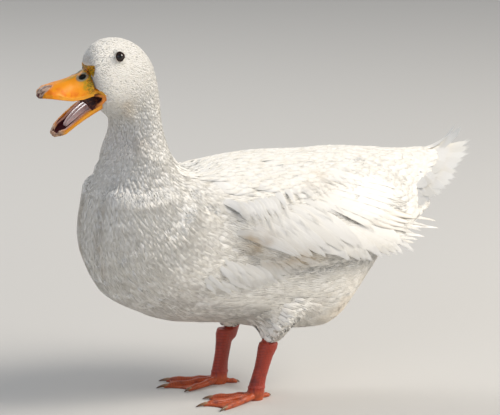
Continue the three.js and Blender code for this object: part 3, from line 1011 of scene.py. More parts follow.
# ---------------------------------------------------------------- feathers
@dataclass(frozen=True)
class Vane:
    """The shape of one feather: a thin closed blade whose end parts into locks of barbs.

    Attributes:
        locks: How many locks it parts into.
        rows: Rows of vertices between its root and its locks.
        parting: Where the locks part, as a share of its length.
        root: Its half-width at the root, as a share of its full half-width.
        widest: Where it is widest, as a share of its length.
        point: How far its outer locks fall short of its middle one.
        ragged: How unevenly long its locks are.
        ridge: How far each lock's ridge stands up, in metres.
        sunk: How far its root is sunk, as a share of the coat's depth.
        hollow: How much lower its edges lie than its middle, as a share of the depth.
        closing: Where its outline would close, as a share of its length.
        steep: Power of its rise from root to tip; a low one makes a smooth coat.
        sweep: How far the ends of its barbs are swept back, as a share of its length.
    """

    locks: int = 7
    rows: int = 3
    parting: float = 0.62
    root: float = 0.25
    widest: float = 0.6
    point: float = 0.26
    ragged: float = 0.07
    ridge: float = 0.45 * MM
    sunk: float = 0.3
    hollow: float = 0.25
    closing: float = 1.35
    steep: float = 0.8
    sweep: float = 0.12

    def outline(self, along: Array) -> Array:
        """Returns the half-width at shares of the length, 1 being the widest.

        Args:
            along: Shares of the length.

        Returns:
            The half-widths.
        """
        rise = smoothstep(along, 0.0, self.widest)
        fall = 1 - smoothstep(along, self.widest, self.closing) * 0.75
        return (self.root + (1 - self.root) * rise) * fall

    def shape(self, seed: int) -> tuple[Array, list]:
        """Lays out the blade flat.

        Args:
            seed: Picks one of the feather's random forms.

        Returns:
            For each vertex its place across, along, the share of the coat's depth that it
            stands at and its own height in metres, and the faces.
        """
        random = np.random.default_rng(seed)
        columns = 2 * self.locks + 1
        across = np.linspace(-1, 1, columns)
        vertices = [(0.0, 0.0, 0.0)]
        for row in range(1, self.rows + 1):
            along = self.parting * row / self.rows
            share = self.outline(np.array(along)) * across
            back = self.sweep * across**2 * along
            for j in range(columns):
                ridge = self.ridge if j % 2 else 0.12 * self.ridge
                vertices.append((share[j], along - back[j], ridge))
        for lock in range(self.locks):
            middle = across[2 * lock + 1]
            reach = 1 - self.point * middle**2 - self.ragged * random.random()
            spread = self.outline(np.array(self.parting)) * middle * random.uniform(0.84, 1.0)
            vertices.append((spread, reach, 0.2 * self.ridge))
        flat = np.array(vertices)
        depth = -self.sunk + (1 + self.sunk) * np.clip(flat[:, 1], 0, 1) ** self.steep
        depth -= self.hollow * flat[:, 0] ** 2
        made = np.column_stack([flat[:, 0] / 2, flat[:, 1], depth, flat[:, 2]])
        return made, self.faces(columns)

    def faces(self, columns: int) -> list:
        """Returns the faces of the blade, its top first and then its flat underside.

        Args:
            columns: How many vertices a row has.

        Returns:
            Each face's vertex numbers.
        """
        rows, locks = self.rows, self.locks
        first = [1 + row * columns for row in range(rows)]
        tip = 1 + rows * columns
        last = first[-1]
        top = [(0, first[0] + j + 1, first[0] + j) for j in range(columns - 1)]
        for row in range(rows - 1):
            here, there = first[row], first[row + 1]
            for j in range(columns - 1):
                top.append((here + j, here + j + 1, there + j + 1, there + j))
        for lock in range(locks):
            left, ridge, right = last + 2 * lock, last + 2 * lock + 1, last + 2 * lock + 2
            top += [(left, ridge, tip + lock), (ridge, right, tip + lock)]
        under = [(0, first[0], first[0] + columns - 1)]
        for row in range(rows - 1):
            here, there = first[row], first[row + 1]
            under.append((here, there, there + columns - 1, here + columns - 1))
        for lock in range(locks):
            left, right = last + 2 * lock, last + 2 * lock + 2
            under.append((left, tip + lock, right))
            if lock < locks - 1:
                under.append((left, right, last + columns - 1))
        return top + under

    def template(self, name: str, seed: int) -> Object:
        """Makes the blade as a mesh of unit width and length, with its heights stored on it.

        Args:
            name: The mesh's name.
            seed: Picks one of the feather's random forms.

        Returns:
            The blade.
        """
        places, faces = self.shape(seed)
        flat = places * (1, 1, 0, 0)
        made = make_object(name, flat[:, :3], faces, None)
        mesh = made.data
        set_attribute(mesh, "stands", "FLOAT", "POINT", places[:, 2])
        set_attribute(mesh, "raised", "FLOAT", "POINT", places[:, 3])
        vane = places[corner_vertices(mesh), :2] + (0.5, 0)
        set_attribute(mesh, "vane", "FLOAT2", "CORNER", vane)
        return made


STORE = "GeometryNodeStoreNamedAttribute"  # the node that stores a number on each point or corner


class CoatNodes:
    """The geometry nodes that grow a region's feathers on the skin.

    Each feather is laid on at its root, turned to the lie of the coat, and then draped: each of
    its vertices goes straight down to the skin, or to the nearest place on it if there is none
    below, and is raised from there.
    """

    def __init__(self) -> None:
        """Makes the group's inputs and output and links its steps."""
        self.tree = bpy.data.node_groups.new("coat of feathers", "GeometryNodeTree")
        sockets = {
            "Geometry": "NodeSocketGeometry",
            "Region": "NodeSocketInt",
            "Spacing": "NodeSocketFloat",
            "Seed": "NodeSocketInt",
            "Feathers": "NodeSocketCollection",
            "Forms": "NodeSocketInt",
            "Rise": "NodeSocketFloat",
            "Ruffle": "NodeSocketFloat",
            "Stray": "NodeSocketFloat",
            "Plumage": "NodeSocketMaterial",
        }
        panel = self.tree.interface
        for name, kind in sockets.items():
            panel.new_socket(name, in_out="INPUT", socket_type=kind)
        panel.new_socket("Geometry", in_out="OUTPUT", socket_type="NodeSocketGeometry")
        self.add = add = partial(add_node, self.tree)
        self.given = add("NodeGroupInput").node.outputs
        kinds = {"region": "INT", "stands": "FLOAT", "raised": "FLOAT", "lift": "FLOAT"}
        for name in ("out", "lie", "feather", "root", "vane", BAKE_MAP):
            kinds[name] = "FLOAT_VECTOR"
        self.read = {
            name: add("GeometryNodeInputNamedAttribute", {"Name": name}, data_type=kind)
            for name, kind in kinds.items()
        }
        drawn = self.drawn()
        feathers = self.laid(self.roots(drawn), drawn)
        done = self.patched(self.draped(feathers))
        done = add("GeometryNodeSetMaterial", {"Geometry": done, "Material": self.given["Plumage"]})
        add("NodeGroupOutput", {0: done})

    def drawn(self) -> dict[str, NodeSocket]:
        """Draws each feather's random numbers.

        Returns:
            Its tone, lift, turn, size and form.
        """
        add, given = self.add, self.given
        calm = add("ShaderNodeMath", {0: 2.0, 1: given["Ruffle"]}, operation="SUBTRACT")
        back = add("ShaderNodeMath", {0: given["Stray"], 1: -1.0}, operation="MULTIPLY")
        drawn = {}
        ranges = {
            "tone": ("FLOAT", 0.0, 1.0),
            "lift": ("FLOAT", calm, given["Ruffle"]),
            "turn": ("FLOAT", back, given["Stray"]),
            "size": ("FLOAT", 0.86, 1.14),
            "form": ("INT", 0, given["Forms"]),
        }
        for number, (name, (kind, low, high)) in enumerate(ranges.items(), start=1):
            first, output = (4, 2) if kind == "INT" else (2, 1)
            seed = add("ShaderNodeMath", {0: given["Seed"], 1: number}, operation="ADD")
            links = {first: low, first + 1: high, 8: seed}
            drawn[name] = add("FunctionNodeRandomValue", links, output, data_type=kind)
        return drawn

    def roots(self, drawn: dict[str, NodeSocket]) -> NodeSocket:
        """Spreads the roots over the region at even distances.

        Args:
            drawn: The feathers' random numbers.

        Returns:
            A point for each root, with its place on the bake map, its tone and its lift.
        """
        add, read, given = self.add, self.read, self.given
        links = {2: read["region"], 3: given["Region"]}
        here = add("FunctionNodeCompare", links, data_type="INT", operation="EQUAL")
        area = add("ShaderNodeMath", {0: given["Spacing"], 1: given["Spacing"]}, operation="MULTIPLY")
        crowding = add("ShaderNodeMath", {0: 5.0, 1: area}, operation="DIVIDE")
        links = {
            "Mesh": given["Geometry"],
            "Selection": here,
            "Distance Min": given["Spacing"],
            "Density Max": crowding,
            "Seed": given["Seed"],
        }
        kind = "GeometryNodeDistributePointsOnFaces"
        roots = add(kind, links, distribute_method="POISSON")
        kept = {
            "root": ("FLOAT_VECTOR", read[BAKE_MAP]),
            "tone": ("FLOAT", drawn["tone"]),
            "lift": ("FLOAT", drawn["lift"]),
        }
        for name, (kind, value) in kept.items():
            links = {"Geometry": roots, "Name": name, "Value": value}
            roots = add(STORE, links, data_type=kind, domain="POINT")
        return roots

    def laid(self, roots: NodeSocket, drawn: dict[str, NodeSocket]) -> NodeSocket:
        """Sets a feather on each root, turned to the lie of the coat.

        Args:
            roots: The roots.
            drawn: The feathers' random numbers.

        Returns:
            The flat feathers.
        """
        add, read, given = self.add, self.read, self.given
        links = {0: read["out"], 1: read["lie"]}
        kind = "FunctionNodeAxesToRotation"
        laid = add(kind, links, primary_axis="Z", secondary_axis="Y")
        turn = add("FunctionNodeAxisAngleToRotation", {"Axis": (0, 0, 1), "Angle": drawn["turn"]})
        kind = "FunctionNodeRotateRotation"
        turned = add(kind, {0: laid, 1: turn}, rotation_space="LOCAL")
        flat = add("ShaderNodeVectorMath", {0: read["feather"], 1: (1, 1, 0)}, operation="MULTIPLY")
        flat = add("ShaderNodeVectorMath", {0: flat, 3: drawn["size"]}, operation="SCALE")
        size = add("ShaderNodeVectorMath", {0: flat, 1: (0, 0, 1)}, operation="ADD")
        links = {"Collection": given["Feathers"], "Separate Children": True, "Reset Children": True}
        forms = add("GeometryNodeCollectionInfo", links)
        links = {
            "Points": roots,
            "Instance": forms,
            "Pick Instance": True,
            "Instance Index": drawn["form"],
            "Rotation": turned,
            "Scale": size,
        }
        feathers = add("GeometryNodeInstanceOnPoints", links)
        return add("GeometryNodeRealizeInstances", {"Geometry": feathers})

    def draped(self, flat: NodeSocket) -> NodeSocket:
        """Drapes each vertex over the skin at its own height.

        Args:
            flat: The flat feathers.

        Returns:
            The draped feathers.
        """
        add, read, given = self.add, self.read, self.given
        place = add("GeometryNodeInputPosition")
        foot = add("GeometryNodeProximity", {0: given["Geometry"], "Sample Position": place})
        links = {"Mesh": given["Geometry"], "Value": read["out"], "Sample Position": place}
        out = add("GeometryNodeSampleNearestSurface", links, data_type="FLOAT_VECTOR")
        above = add("ShaderNodeVectorMath", {0: read["out"], 3: DRAPE}, operation="SCALE")
        above = add("ShaderNodeVectorMath", {0: place, 1: above}, operation="ADD")
        down = add("ShaderNodeVectorMath", {0: read["out"], 3: -1.0}, operation="SCALE")
        links = {0: given["Geometry"], 1: read["out"], 2: above, 3: down, 4: 2 * DRAPE}
        met = add("GeometryNodeRaycast", links, data_type="FLOAT_VECTOR").node.outputs
        links = {0: met["Is Hit"], 1: foot, 2: met["Hit Position"]}
        foot = add("GeometryNodeSwitch", links, input_type="VECTOR")
        links = {0: met["Is Hit"], 1: out, 2: met["Attribute"]}
        out = add("GeometryNodeSwitch", links, input_type="VECTOR")
        out = add("ShaderNodeVectorMath", {0: out}, operation="NORMALIZE")
        height = add("ShaderNodeSeparateXYZ", {0: read["feather"]}, 2)
        for factor in (given["Rise"], read["lift"], read["stands"]):
            height = add("ShaderNodeMath", {0: height, 1: factor}, operation="MULTIPLY")
        height = add("ShaderNodeMath", {0: height, 1: read["raised"]}, operation="ADD")
        rise = add("ShaderNodeVectorMath", {0: out, 3: height}, operation="SCALE")
        spot = add("ShaderNodeVectorMath", {0: foot, 1: rise}, operation="ADD")
        return add("GeometryNodeSetPosition", {"Geometry": flat, "Position": spot})

    def patched(self, done: NodeSocket) -> NodeSocket:
        """Gives each feather its patch on the bake map, at its root's place.

        Args:
            done: The draped feathers.

        Returns:
            The feathers without the numbers that only the coat's making needs.
        """
        add, read = self.add, self.read
        patch = add("ShaderNodeVectorMath", {0: read["vane"], 1: (0.5, 0.5, 0)}, operation="SUBTRACT")
        patch = add("ShaderNodeVectorMath", {0: patch, 3: BAKE_PATCH}, operation="SCALE")
        patch = add("ShaderNodeVectorMath", {0: read["root"], 1: patch}, operation="ADD")
        links = {"Geometry": done, "Name": BAKE_MAP, "Value": patch}
        done = add(STORE, links, data_type="FLOAT2", domain="CORNER")
        for name in ("root", "lift", "feather", "lie", "out", "stands", "raised", "region"):
            done = add("GeometryNodeRemoveAttribute", {"Geometry": done, "Name": name})
        return done


@dataclass
class CoatPiece:
    """One region's feathers as a plain mesh.

    Attributes:
        region: The region of the skin that it grows on.
        spacing: The least distance between two roots.
        vane: The shape of its feathers.
        ruffle: How much higher than the others the most raised feathers stand.
        rise: How high the tips stand, as a share of the coat's depth.
        stray: How far feathers turn away from the lie of the coat, in radians.
        forms: How many random forms of the feather it mixes.
    """

    region: Region
    spacing: float
    vane: Vane
    ruffle: float = 1.15
    rise: float = 1.0
    stray: float = 0.14
    forms: int = 5

    def build(self, skin: Object, tree: NodeTree, finish: Material) -> Object:
        """Grows the region's feathers.

        Args:
            skin: The skin, with the coat's map stored on it.
            tree: The geometry nodes of the coat.
            finish: The feathers' material.

        Returns:
            The piece.
        """
        name = f"coat_{self.region.name.lower()}"
        collection = bpy.data.collections.new(name + "_forms")
        templates = []
        for seed in range(self.forms):
            made = self.vane.template(f"{name}_form_{seed}", seed)
            bpy.context.scene.collection.objects.unlink(made)
            collection.objects.link(made)
            templates.append(made)
        modifier = skin.modifiers.new(name, "NODES")
        modifier.node_group = tree
        values = {
            "Region": self.region.value,
            "Spacing": self.spacing,
            "Seed": 11 + self.region.value,
            "Feathers": collection,
            "Forms": self.forms - 1,
            "Rise": self.rise,
            "Ruffle": self.ruffle,
            "Stray": self.stray,
            "Plumage": finish,
        }
        for item in tree.interface.items_tree:
            if item.in_out == "INPUT" and item.name in values:
                modifier[item.identifier] = values[item.name]
        skin.update_tag()
        graph = bpy.context.evaluated_depsgraph_get()
        mesh = bpy.data.meshes.new_from_object(skin.evaluated_get(graph), depsgraph=graph)
        skin.modifiers.remove(modifier)
        mesh.name = name
        piece = bpy.data.objects.new(name, mesh)
        bpy.context.scene.collection.objects.link(piece)
        for made in templates:
            bpy.data.objects.remove(made)
        bpy.data.collections.remove(collection)
        return piece


DOWNY = Vane(2, 2, 0.65, ridge=0.05 * MM, sunk=0.2, hollow=0.1, ragged=0.1, steep=0.5)
NECK_VANE = Vane(3, 2, 0.6, ridge=0.08 * MM, ragged=0.16, hollow=0.09, steep=0.5)
SILKY = Vane(4, 2, 0.56, ridge=0.1 * MM, ragged=0.2, hollow=0.1, steep=0.5)
FLANK_VANE = Vane(4, 3, 0.56, ridge=0.2 * MM, ragged=0.16, hollow=0.12, steep=0.6)
BACK_VANE = Vane(6, 3, 0.86, ridge=0.12 * MM, point=0.2, ragged=0.04, hollow=0.16, steep=0.5)
COAT = (
    CoatPiece(Region.FACE, 1.35 * MM, DOWNY, 1.05, 0.9, 0.1),
    CoatPiece(Region.CROWN, 1.6 * MM, DOWNY, 1.05, 0.9, 0.1),
    CoatPiece(Region.NECK, 2.3 * MM, NECK_VANE, 1.02, 0.5, 0.05),
    CoatPiece(Region.BREAST, 3.3 * MM, SILKY, 1.012, 0.46, 0.04),
    CoatPiece(Region.BACK, 5.0 * MM, BACK_VANE, 1.05, 0.86),
    CoatPiece(Region.WING, 4.8 * MM, FLANK_VANE, 1.06, 0.64, 0.1),
    CoatPiece(Region.FLANK, 4.6 * MM, FLANK_VANE, 1.03, 0.5, 0.07),
    CoatPiece(Region.BELLY, 4.4 * MM, SILKY, 1.02, 0.5, 0.05),
    CoatPiece(Region.THIGH, 3.4 * MM, NECK_VANE, 1.12, 1.0, 0.12),
    CoatPiece(Region.TAIL, 5.0 * MM, BACK_VANE, 1.05, 0.9, 0.1),
)


# ---------------------------------------------------------------- large feathers
class SkinMap:
    """Where each place of the body is on the skin's bake map."""

    def __init__(self, skin: Object) -> None:
        """Reads the map from the skin.

        Args:
            skin: The skin, already unwrapped.
        """
        mesh = skin.data
        corners = [list(face.vertices) for face in mesh.polygons]
        self.tree = BVHTree.FromPolygons(vertex_places(mesh).tolist(), corners)
        layer = mesh.uv_layers[BAKE_MAP].data
        self.bake = [layer[face.loop_start].uv.copy() for face in mesh.polygons]

    def place(self, point: Array) -> Array:
        """Returns where the nearest bit of skin is on the bake map."""
        return np.array(self.bake[self.tree.find_nearest(Vector(point))[2]])


@dataclass
class Chart:
    """One side of the body unrolled round a long axis, so that feathers can be laid out flat.

    Each of its places is a distance along the axis and an angle round it from straight up.

    Attributes:
        side: Minus one for the left side and one for the right.
        wing_only: Whether the wing's surface is carried on beyond its lower edge.
        height: Height of the axis.
        step: Side of its cells along the axis.
        turn: Side of its cells round the axis, in radians.
        span: Where it starts and ends along the axis.
        arc: The angles that it starts and ends at.
        far: How far from the axis the rays that measure it start.
        filling: How many rounds of averaging fill its gaps.
        smoothing: How many more rounds smooth all of it.
    """

    side: int
    wing_only: bool
    height: float = 190 * MM
    step: float = 4 * MM
    turn: float = math.radians(2)
    span: tuple[float, float] = (-150 * MM, 240 * MM)
    arc: tuple[float, float] = (math.radians(14), math.radians(152))
    far: float = 0.4
    filling: int = 694
    smoothing: int = 6

    def __post_init__(self) -> None:
        """Measures how far the body reaches from the axis, and fills and smooths the gaps."""
        side = "left" if self.side < 0 else "right"
        wing = self.cast(*node_surface(f"wing_{side}"))
        body = self.cast(*node_surface("trunk", "tail", f"thigh_{side}"))
        along, angle = self.cells()
        if self.wing_only:  # below and behind this the body lies further in than the wing
            body[(angle > math.radians(66)) & (along > -66 * MM)] = np.nan
        self.reach = np.fmax(wing, body)
        unknown = np.isnan(self.reach)
        self.reach[unknown] = np.nanmean(self.reach)
        for number in range(self.filling + self.smoothing):
            padded = np.pad(self.reach, 1, mode="edge")
            mean = (padded[2:, 1:-1] + padded[:-2, 1:-1] + padded[1:-1, 2:] + padded[1:-1, :-2]) / 4
            self.reach = np.where(unknown | (number >= self.filling), mean, self.reach)

    def cells(self) -> tuple[Array, Array]:
        """Returns each cell's place along the axis and its angle.

        Returns:
            The two grids.
        """
        along = np.arange(*self.span, self.step)
        angle = np.arange(*self.arc, self.turn)
        return np.meshgrid(along, angle, indexing="ij")

    def cast(self, points: Array, faces: Array) -> Array:
        """Returns how far a surface reaches from the axis in each cell, or nan.

        Args:
            points: The surface's vertices.
            faces: Its triangles.

        Returns:
            The reach in each cell.
        """
        tree = BVHTree.FromPolygons(points.tolist(), faces.tolist())
        along, angle = self.cells()
        reach = np.full(along.shape, np.nan)
        for cell in np.ndindex(along.shape):
            out = Vector((0, self.side * math.sin(angle[cell]), math.cos(angle[cell])))
            start = Vector((along[cell], 0, self.height)) + out * self.far
            distance = tree.ray_cast(start, -out, self.far)[3]
            if distance is not None:
                reach[cell] = self.far - distance
        return reach

    def flat(self, place: Array) -> Array:
        """Returns a place's distance along the axis and its angle."""
        return np.array([place[0], math.atan2(abs(place[1]), place[2] - self.height)])

    def measure(self, along: Array, angle: Array) -> Array:
        """Returns the smoothed reach at any places of the chart.

        Args:
            along: The places' distances along the axis.
            angle: Their angles.

        Returns:
            The reach at each place.
        """
        first_along, first_angle = (cell[0, 0] for cell in self.cells())
        i = np.clip((along - first_along) / self.step, 0, self.reach.shape[0] - 1.001)
        j = np.clip((angle - first_angle) / self.turn, 0, self.reach.shape[1] - 1.001)
        a, b = i.astype(int), j.astype(int)
        near = lerp(self.reach[a, b], self.reach[a + 1, b], i - a)
        far = lerp(self.reach[a, b + 1], self.reach[a + 1, b + 1], i - a)
        return lerp(near, far, j - b)

    def spot(self, along: Array, angle: Array) -> Array:
        """Returns the places in space of places on the chart.

        Args:
            along: The places' distances along the axis.
            angle: Their angles.

        Returns:
            One row for each place.
        """
        reach = self.measure(along, angle)
        across = self.side * reach * np.sin(angle)
        return np.stack([along, across, self.height + reach * np.cos(angle)], -1)

    def raised(self, along: Array, angle: Array, height: Array) -> Array:
        """Returns the places that stand off the chart's surface by given heights.

        Args:
            along: The places' distances along the axis.
            angle: Their angles.
            height: How far each one stands off.

        Returns:
            One row for each place.
        """
        here = self.spot(along, angle)
        ahead = self.spot(along + self.step, angle) - here
        round_it = self.spot(along, angle + self.turn) - here
        out = unit(np.cross(ahead, round_it)) * self.side
        return here + out * height[:, None]


@dataclass
class Plumes:
    """Large feathers, laid one by one and joined into one mesh.

    Attributes:
        skin_map: Where places of the body are on the skin's bake map.
    """

    skin_map: SkinMap

    def __post_init__(self) -> None:
        """Starts with no feathers."""
        self.points, self.faces, self.vanes, self.bakes = [], [], [], []
        self.tones, self.gilts = [], []
        self.count = 0

    def add(
        self,
        points: Array,
        shape: Array,
        faces: list,
        out: Array,
        tone: float,
        gilt: float = 0.0,
    ) -> None:
        """Adds one feather whose vertices have been placed.

        Args:
            points: The vertices' places.
            shape: The vane's own layout, across and along first.
            faces: Its faces.
            out: The way that its upper side faces.
            tone: The feather's number between 0 and 1, which shades it.
            gilt: How brown its edges are.
        """
        first, second, third = (points[i] for i in faces[0][:3])
        turned = np.dot(np.cross(second - first, third - first), out) < 0
        self.faces += [tuple(v + self.count for v in face)[:: -1 if turned else 1] for face in faces]
        self.points.append(points)
        self.vanes.append(shape[:, :2] + (0.5, 0))
        bake = self.skin_map.place(points[0])
        self.bakes.append(bake + (shape[:, :2] - (0, 0.5)) * BAKE_PATCH)
        self.tones.append(np.full(len(points), tone))
        self.gilts.append(gilt * smoothstep(shape[:, 1], 0.2, 0.7))
        self.count += len(points)

    def build(self, name: str, finish: Material) -> Object:
        """Joins the feathers into one mesh.

        Args:
            name: The piece's name.
            finish: The feathers' material.

        Returns:
            The piece.
        """
        points = np.concatenate(self.points)
        made = make_object(name, points, self.faces, finish)
        mesh = made.data
        mesh.set_sharp_from_angle(angle=math.radians(70))
        corner = corner_vertices(mesh)
        set_attribute(mesh, "tone", "FLOAT", "POINT", np.concatenate(self.tones))
        set_attribute(mesh, "gilt", "FLOAT", "POINT", np.concatenate(self.gilts))
        set_attribute(mesh, "stain", "FLOAT", "POINT", stains_and_shade(points))
        set_attribute(mesh, "vane", "FLOAT2", "CORNER", np.concatenate(self.vanes)[corner])
        set_attribute(mesh, BAKE_MAP, "FLOAT2", "CORNER", np.concatenate(self.bakes)[corner])
        return made


@dataclass(frozen=True)
class Tract:
    """A row of large feathers on one side of the body.

    Places are in millimetres: along the body, out to the side and up. Each list of places has
    that of the row's first feather, of its middle one and of its last.

    Attributes:
        count: How many feathers it has.
        roots: Where they start.
        tips: Where they end.
        width: Width of the first and of the last feather.
        heights: How far the roots and the tips stand off the chart.
        vane: The feathers' shape.
        shingle: How steeply they tilt sideways; above zero the first lies over the next.
        bow: How far their middles are bent towards the back.
        free: The share of their length after which they leave the body.
        loose: How far their tips stray.
        gilt: How brown their edges are.
    """

    count: int
    roots: tuple
    tips: tuple
    width: tuple[float, float]
    heights: tuple[float, float]
    vane: Vane
    shingle: float = 0.09
    bow: float = 2.0
    free: float = 1.0
    loose: float = 1.2
    gilt: float = 0.0

    def lay(self, plumes: Plumes, chart: Chart, seed: int) -> None:
        """Lays the row on one side.

        Args:
            plumes: The feathers so far.
            chart: The side that they are laid on.
            seed: Seed of the row's small irregularities.
        """
        random = np.random.default_rng(seed)
        for i in range(self.count):
            share = i / max(self.count - 1, 1)
            ends = []
            for first, middle, last in (self.roots, self.tips):
                a, b, c = (np.array(p, float) for p in (first, middle, last))
                place = a * (1 - share) * (1 - 2 * share) + b * 4 * share * (1 - share)
                place = place + c * share * (2 * share - 1) + random.normal(0, self.loose, 3)
                ends.append(place * (1, chart.side, 1) * MM)
            width = lerp(*self.width, share) * MM * random.uniform(0.9, 1.1)
            shape, faces = self.vane.shape(seed + i)
            points, out = self.place(chart, *ends, width, shape)
            plumes.add(points, shape, faces, out, random.random(), self.gilt)

    def place(
        self, chart: Chart, root: Array, tip: Array, width: float, shape: Array
    ) -> tuple[Array, Array]:
        """Places the vertices of one feather.

        Args:
            chart: The side that it is laid on.
            root: Where it starts.
            tip: Where it ends.
            width: Its full width.
            shape: The vane's own layout.

        Returns:
            The vertices' places and the way that the feather faces.
        """
        across, along, raised = shape[:, 0], shape[:, 1], shape[:, 3]
        start, end = chart.flat(root), chart.flat(tip)
        middle = (start + end) / 2
        metric = np.array([1.0, float(chart.measure(middle[:1], middle[1:])[0])])
        way = (end - start) * metric
        beside = np.array([-way[1], way[0]]) / np.linalg.norm(way)
        aside = across * width - self.bow * MM * 4 * along * (1 - along)
        laid = (start * metric + along[:, None] * way + aside[:, None] * beside) / metric
        height = lerp(*self.heights, np.clip(along, 0, 1) ** 0.6) * MM + raised
        height -= self.shingle * across * width + self.vane.hollow * width * across**2
        held = chart.raised(laid[:, 0], laid[:, 1], height)
        out = unit((held[-1] - chart.spot(laid[-1:, 0], laid[-1:, 1])[0]) * np.sign(height[-1]))
        side_way = unit(np.cross(tip - root, out)) * np.sign(chart.side)
        loose = root + along[:, None] * (tip - root) + aside[:, None] * side_way * -1
        loose = loose + out * height[:, None]
        share = smoothstep(along, self.free, 1.0) if self.free < 1 else np.zeros(len(along))
        return lerp(held, loose, share[:, None]), out


QUILL = Vane(7, 9, 0.97, 0.5, 0.3, 0.1, 0.01, 0.2 * MM, hollow=0.06, closing=1.12)
BROAD = Vane(8, 9, 0.95, 0.5, 0.5, 0.12, 0.02, 0.22 * MM, hollow=0.05, closing=1.15)
COVERT = Vane(7, 6, 0.78, 0.3, 0.5, 0.2, 0.08, 0.25 * MM, hollow=0.05)
LANCE = Vane(5, 6, 0.6, 0.2, 0.45, 0.3, 0.14, 0.25 * MM, hollow=0.04)

# The rows of one side, from the lowest layer up.
WING_TRACTS = (
    Tract(
        4,
        ((60, 96, 196), (75, 94, 200), (90, 90, 206)),
        ((173, 66, 171), (186, 60, 175), (214, 50, 184)),
        (12, 9), (-6, -1), QUILL, -0.06, 3, 0.5, 0.8, 0.6,
    ),
    Tract(
        10,
        ((0, 100, 200), (30, 100, 216), (66, 96, 228)),
        ((66, 97, 170), (112, 88, 161), (166, 74, 166)),
        (23, 20), (-5, 1.2), BROAD, -0.07, 6, 0.8, 1.6,
    ),
    Tract(
        4,
        ((74, 88, 220), (82, 84, 224), (88, 82, 228)),
        ((172, 66, 184), (190, 56, 186), (210, 47, 191)),
        (10, 8), (-3, 1.2), QUILL, -0.06, 2, 0.5, 1.0, 0.9,
    ),
    Tract(
        12,
        ((-70, 92, 206), (-40, 98, 222), (0, 96, 238)),
        ((2, 104, 178), (36, 102, 176), (90, 96, 184)),
        (15, 17), (-5, 1.6), BROAD, 0.08, 4, 1.0, 2.2,
    ),
    Tract(
        9,
        ((18, 88, 244), (24, 78, 254), (32, 62, 266)),
        ((112, 90, 196), (150, 74, 208), (180, 56, 228)),
        (15, 16), (-4, 1.2), COVERT, -0.08, 6, 1.0, 2.0,
    ),
    Tract(
        22,
        ((-70, 88, 218), (-44, 92, 238), (10, 88, 250)),
        ((-20, 101, 190), (14, 102, 200), (72, 96, 212)),
        (6.5, 8), (-8, 2), LANCE, 0.1, 3, 1.0, 3.5,
    ),
    Tract(
        26,
        ((-88, 74, 248), (-68, 78, 258), (-20, 70, 270)),
        ((-56, 92, 226), (-36, 99, 206), (0, 98, 222)),
        (5.5, 7), (-9, 3.2), LANCE, 0.14, 6, 1.0, 3.5,
    ),
    Tract(
        20,
        ((-20, 66, 268), (10, 62, 272), (50, 52, 276)),
        ((28, 92, 236), (60, 86, 242), (120, 68, 256)),
        (7, 9), (-8, 1.5), LANCE, 0.1, 4, 1.0, 4.0,
    ),
)
FLANK_TRACTS = (
    Tract(
        26,
        ((-118, 78, 160), (-82, 84, 150), (-30, 90, 152)),
        ((-84, 81, 138), (-40, 84, 134), (20, 92, 150)),
        (5.5, 7), (-8, 0.5), LANCE, 0.1, 3, 1.0, 3.5,
    ),
    Tract(
        34,
        ((-100, 84, 178), (-62, 90, 176), (-14, 98, 180)),
        ((-60, 84, 143), (-8, 86, 136), (44, 96, 163)),
        (5.5, 7.5), (-8, 1.4), LANCE, 0.12, 3, 1.0, 4.0,
    ),
)


@dataclass
class Wing:
    """The large feathers of one folded wing and of the flank below it.

    Attributes:
        name: Left or right.
        side: Minus one for the left and one for the right.
    """

    name: str
    side: int

    def build(self, skin_map: SkinMap, finish: Material) -> Object:
        """Lays the wing's rows from the lowest layer up, and then the flank's.

        Args:
            skin_map: Where places of the body are on the skin's bake map.
            finish: The feathers' material.

        Returns:
            The piece.
        """
        plumes = Plumes(skin_map)
        odd = 0 if self.side < 0 else 37
        for wing_only, tracts in ((True, WING_TRACTS), (False, FLANK_TRACTS)):
            chart = Chart(self.side, wing_only)
            for number, tract in enumerate(tracts):
                tract.lay(plumes, chart, 100 * (number + 1) + odd)
        return plumes.build(f"plumes_wing_{self.name}", finish)


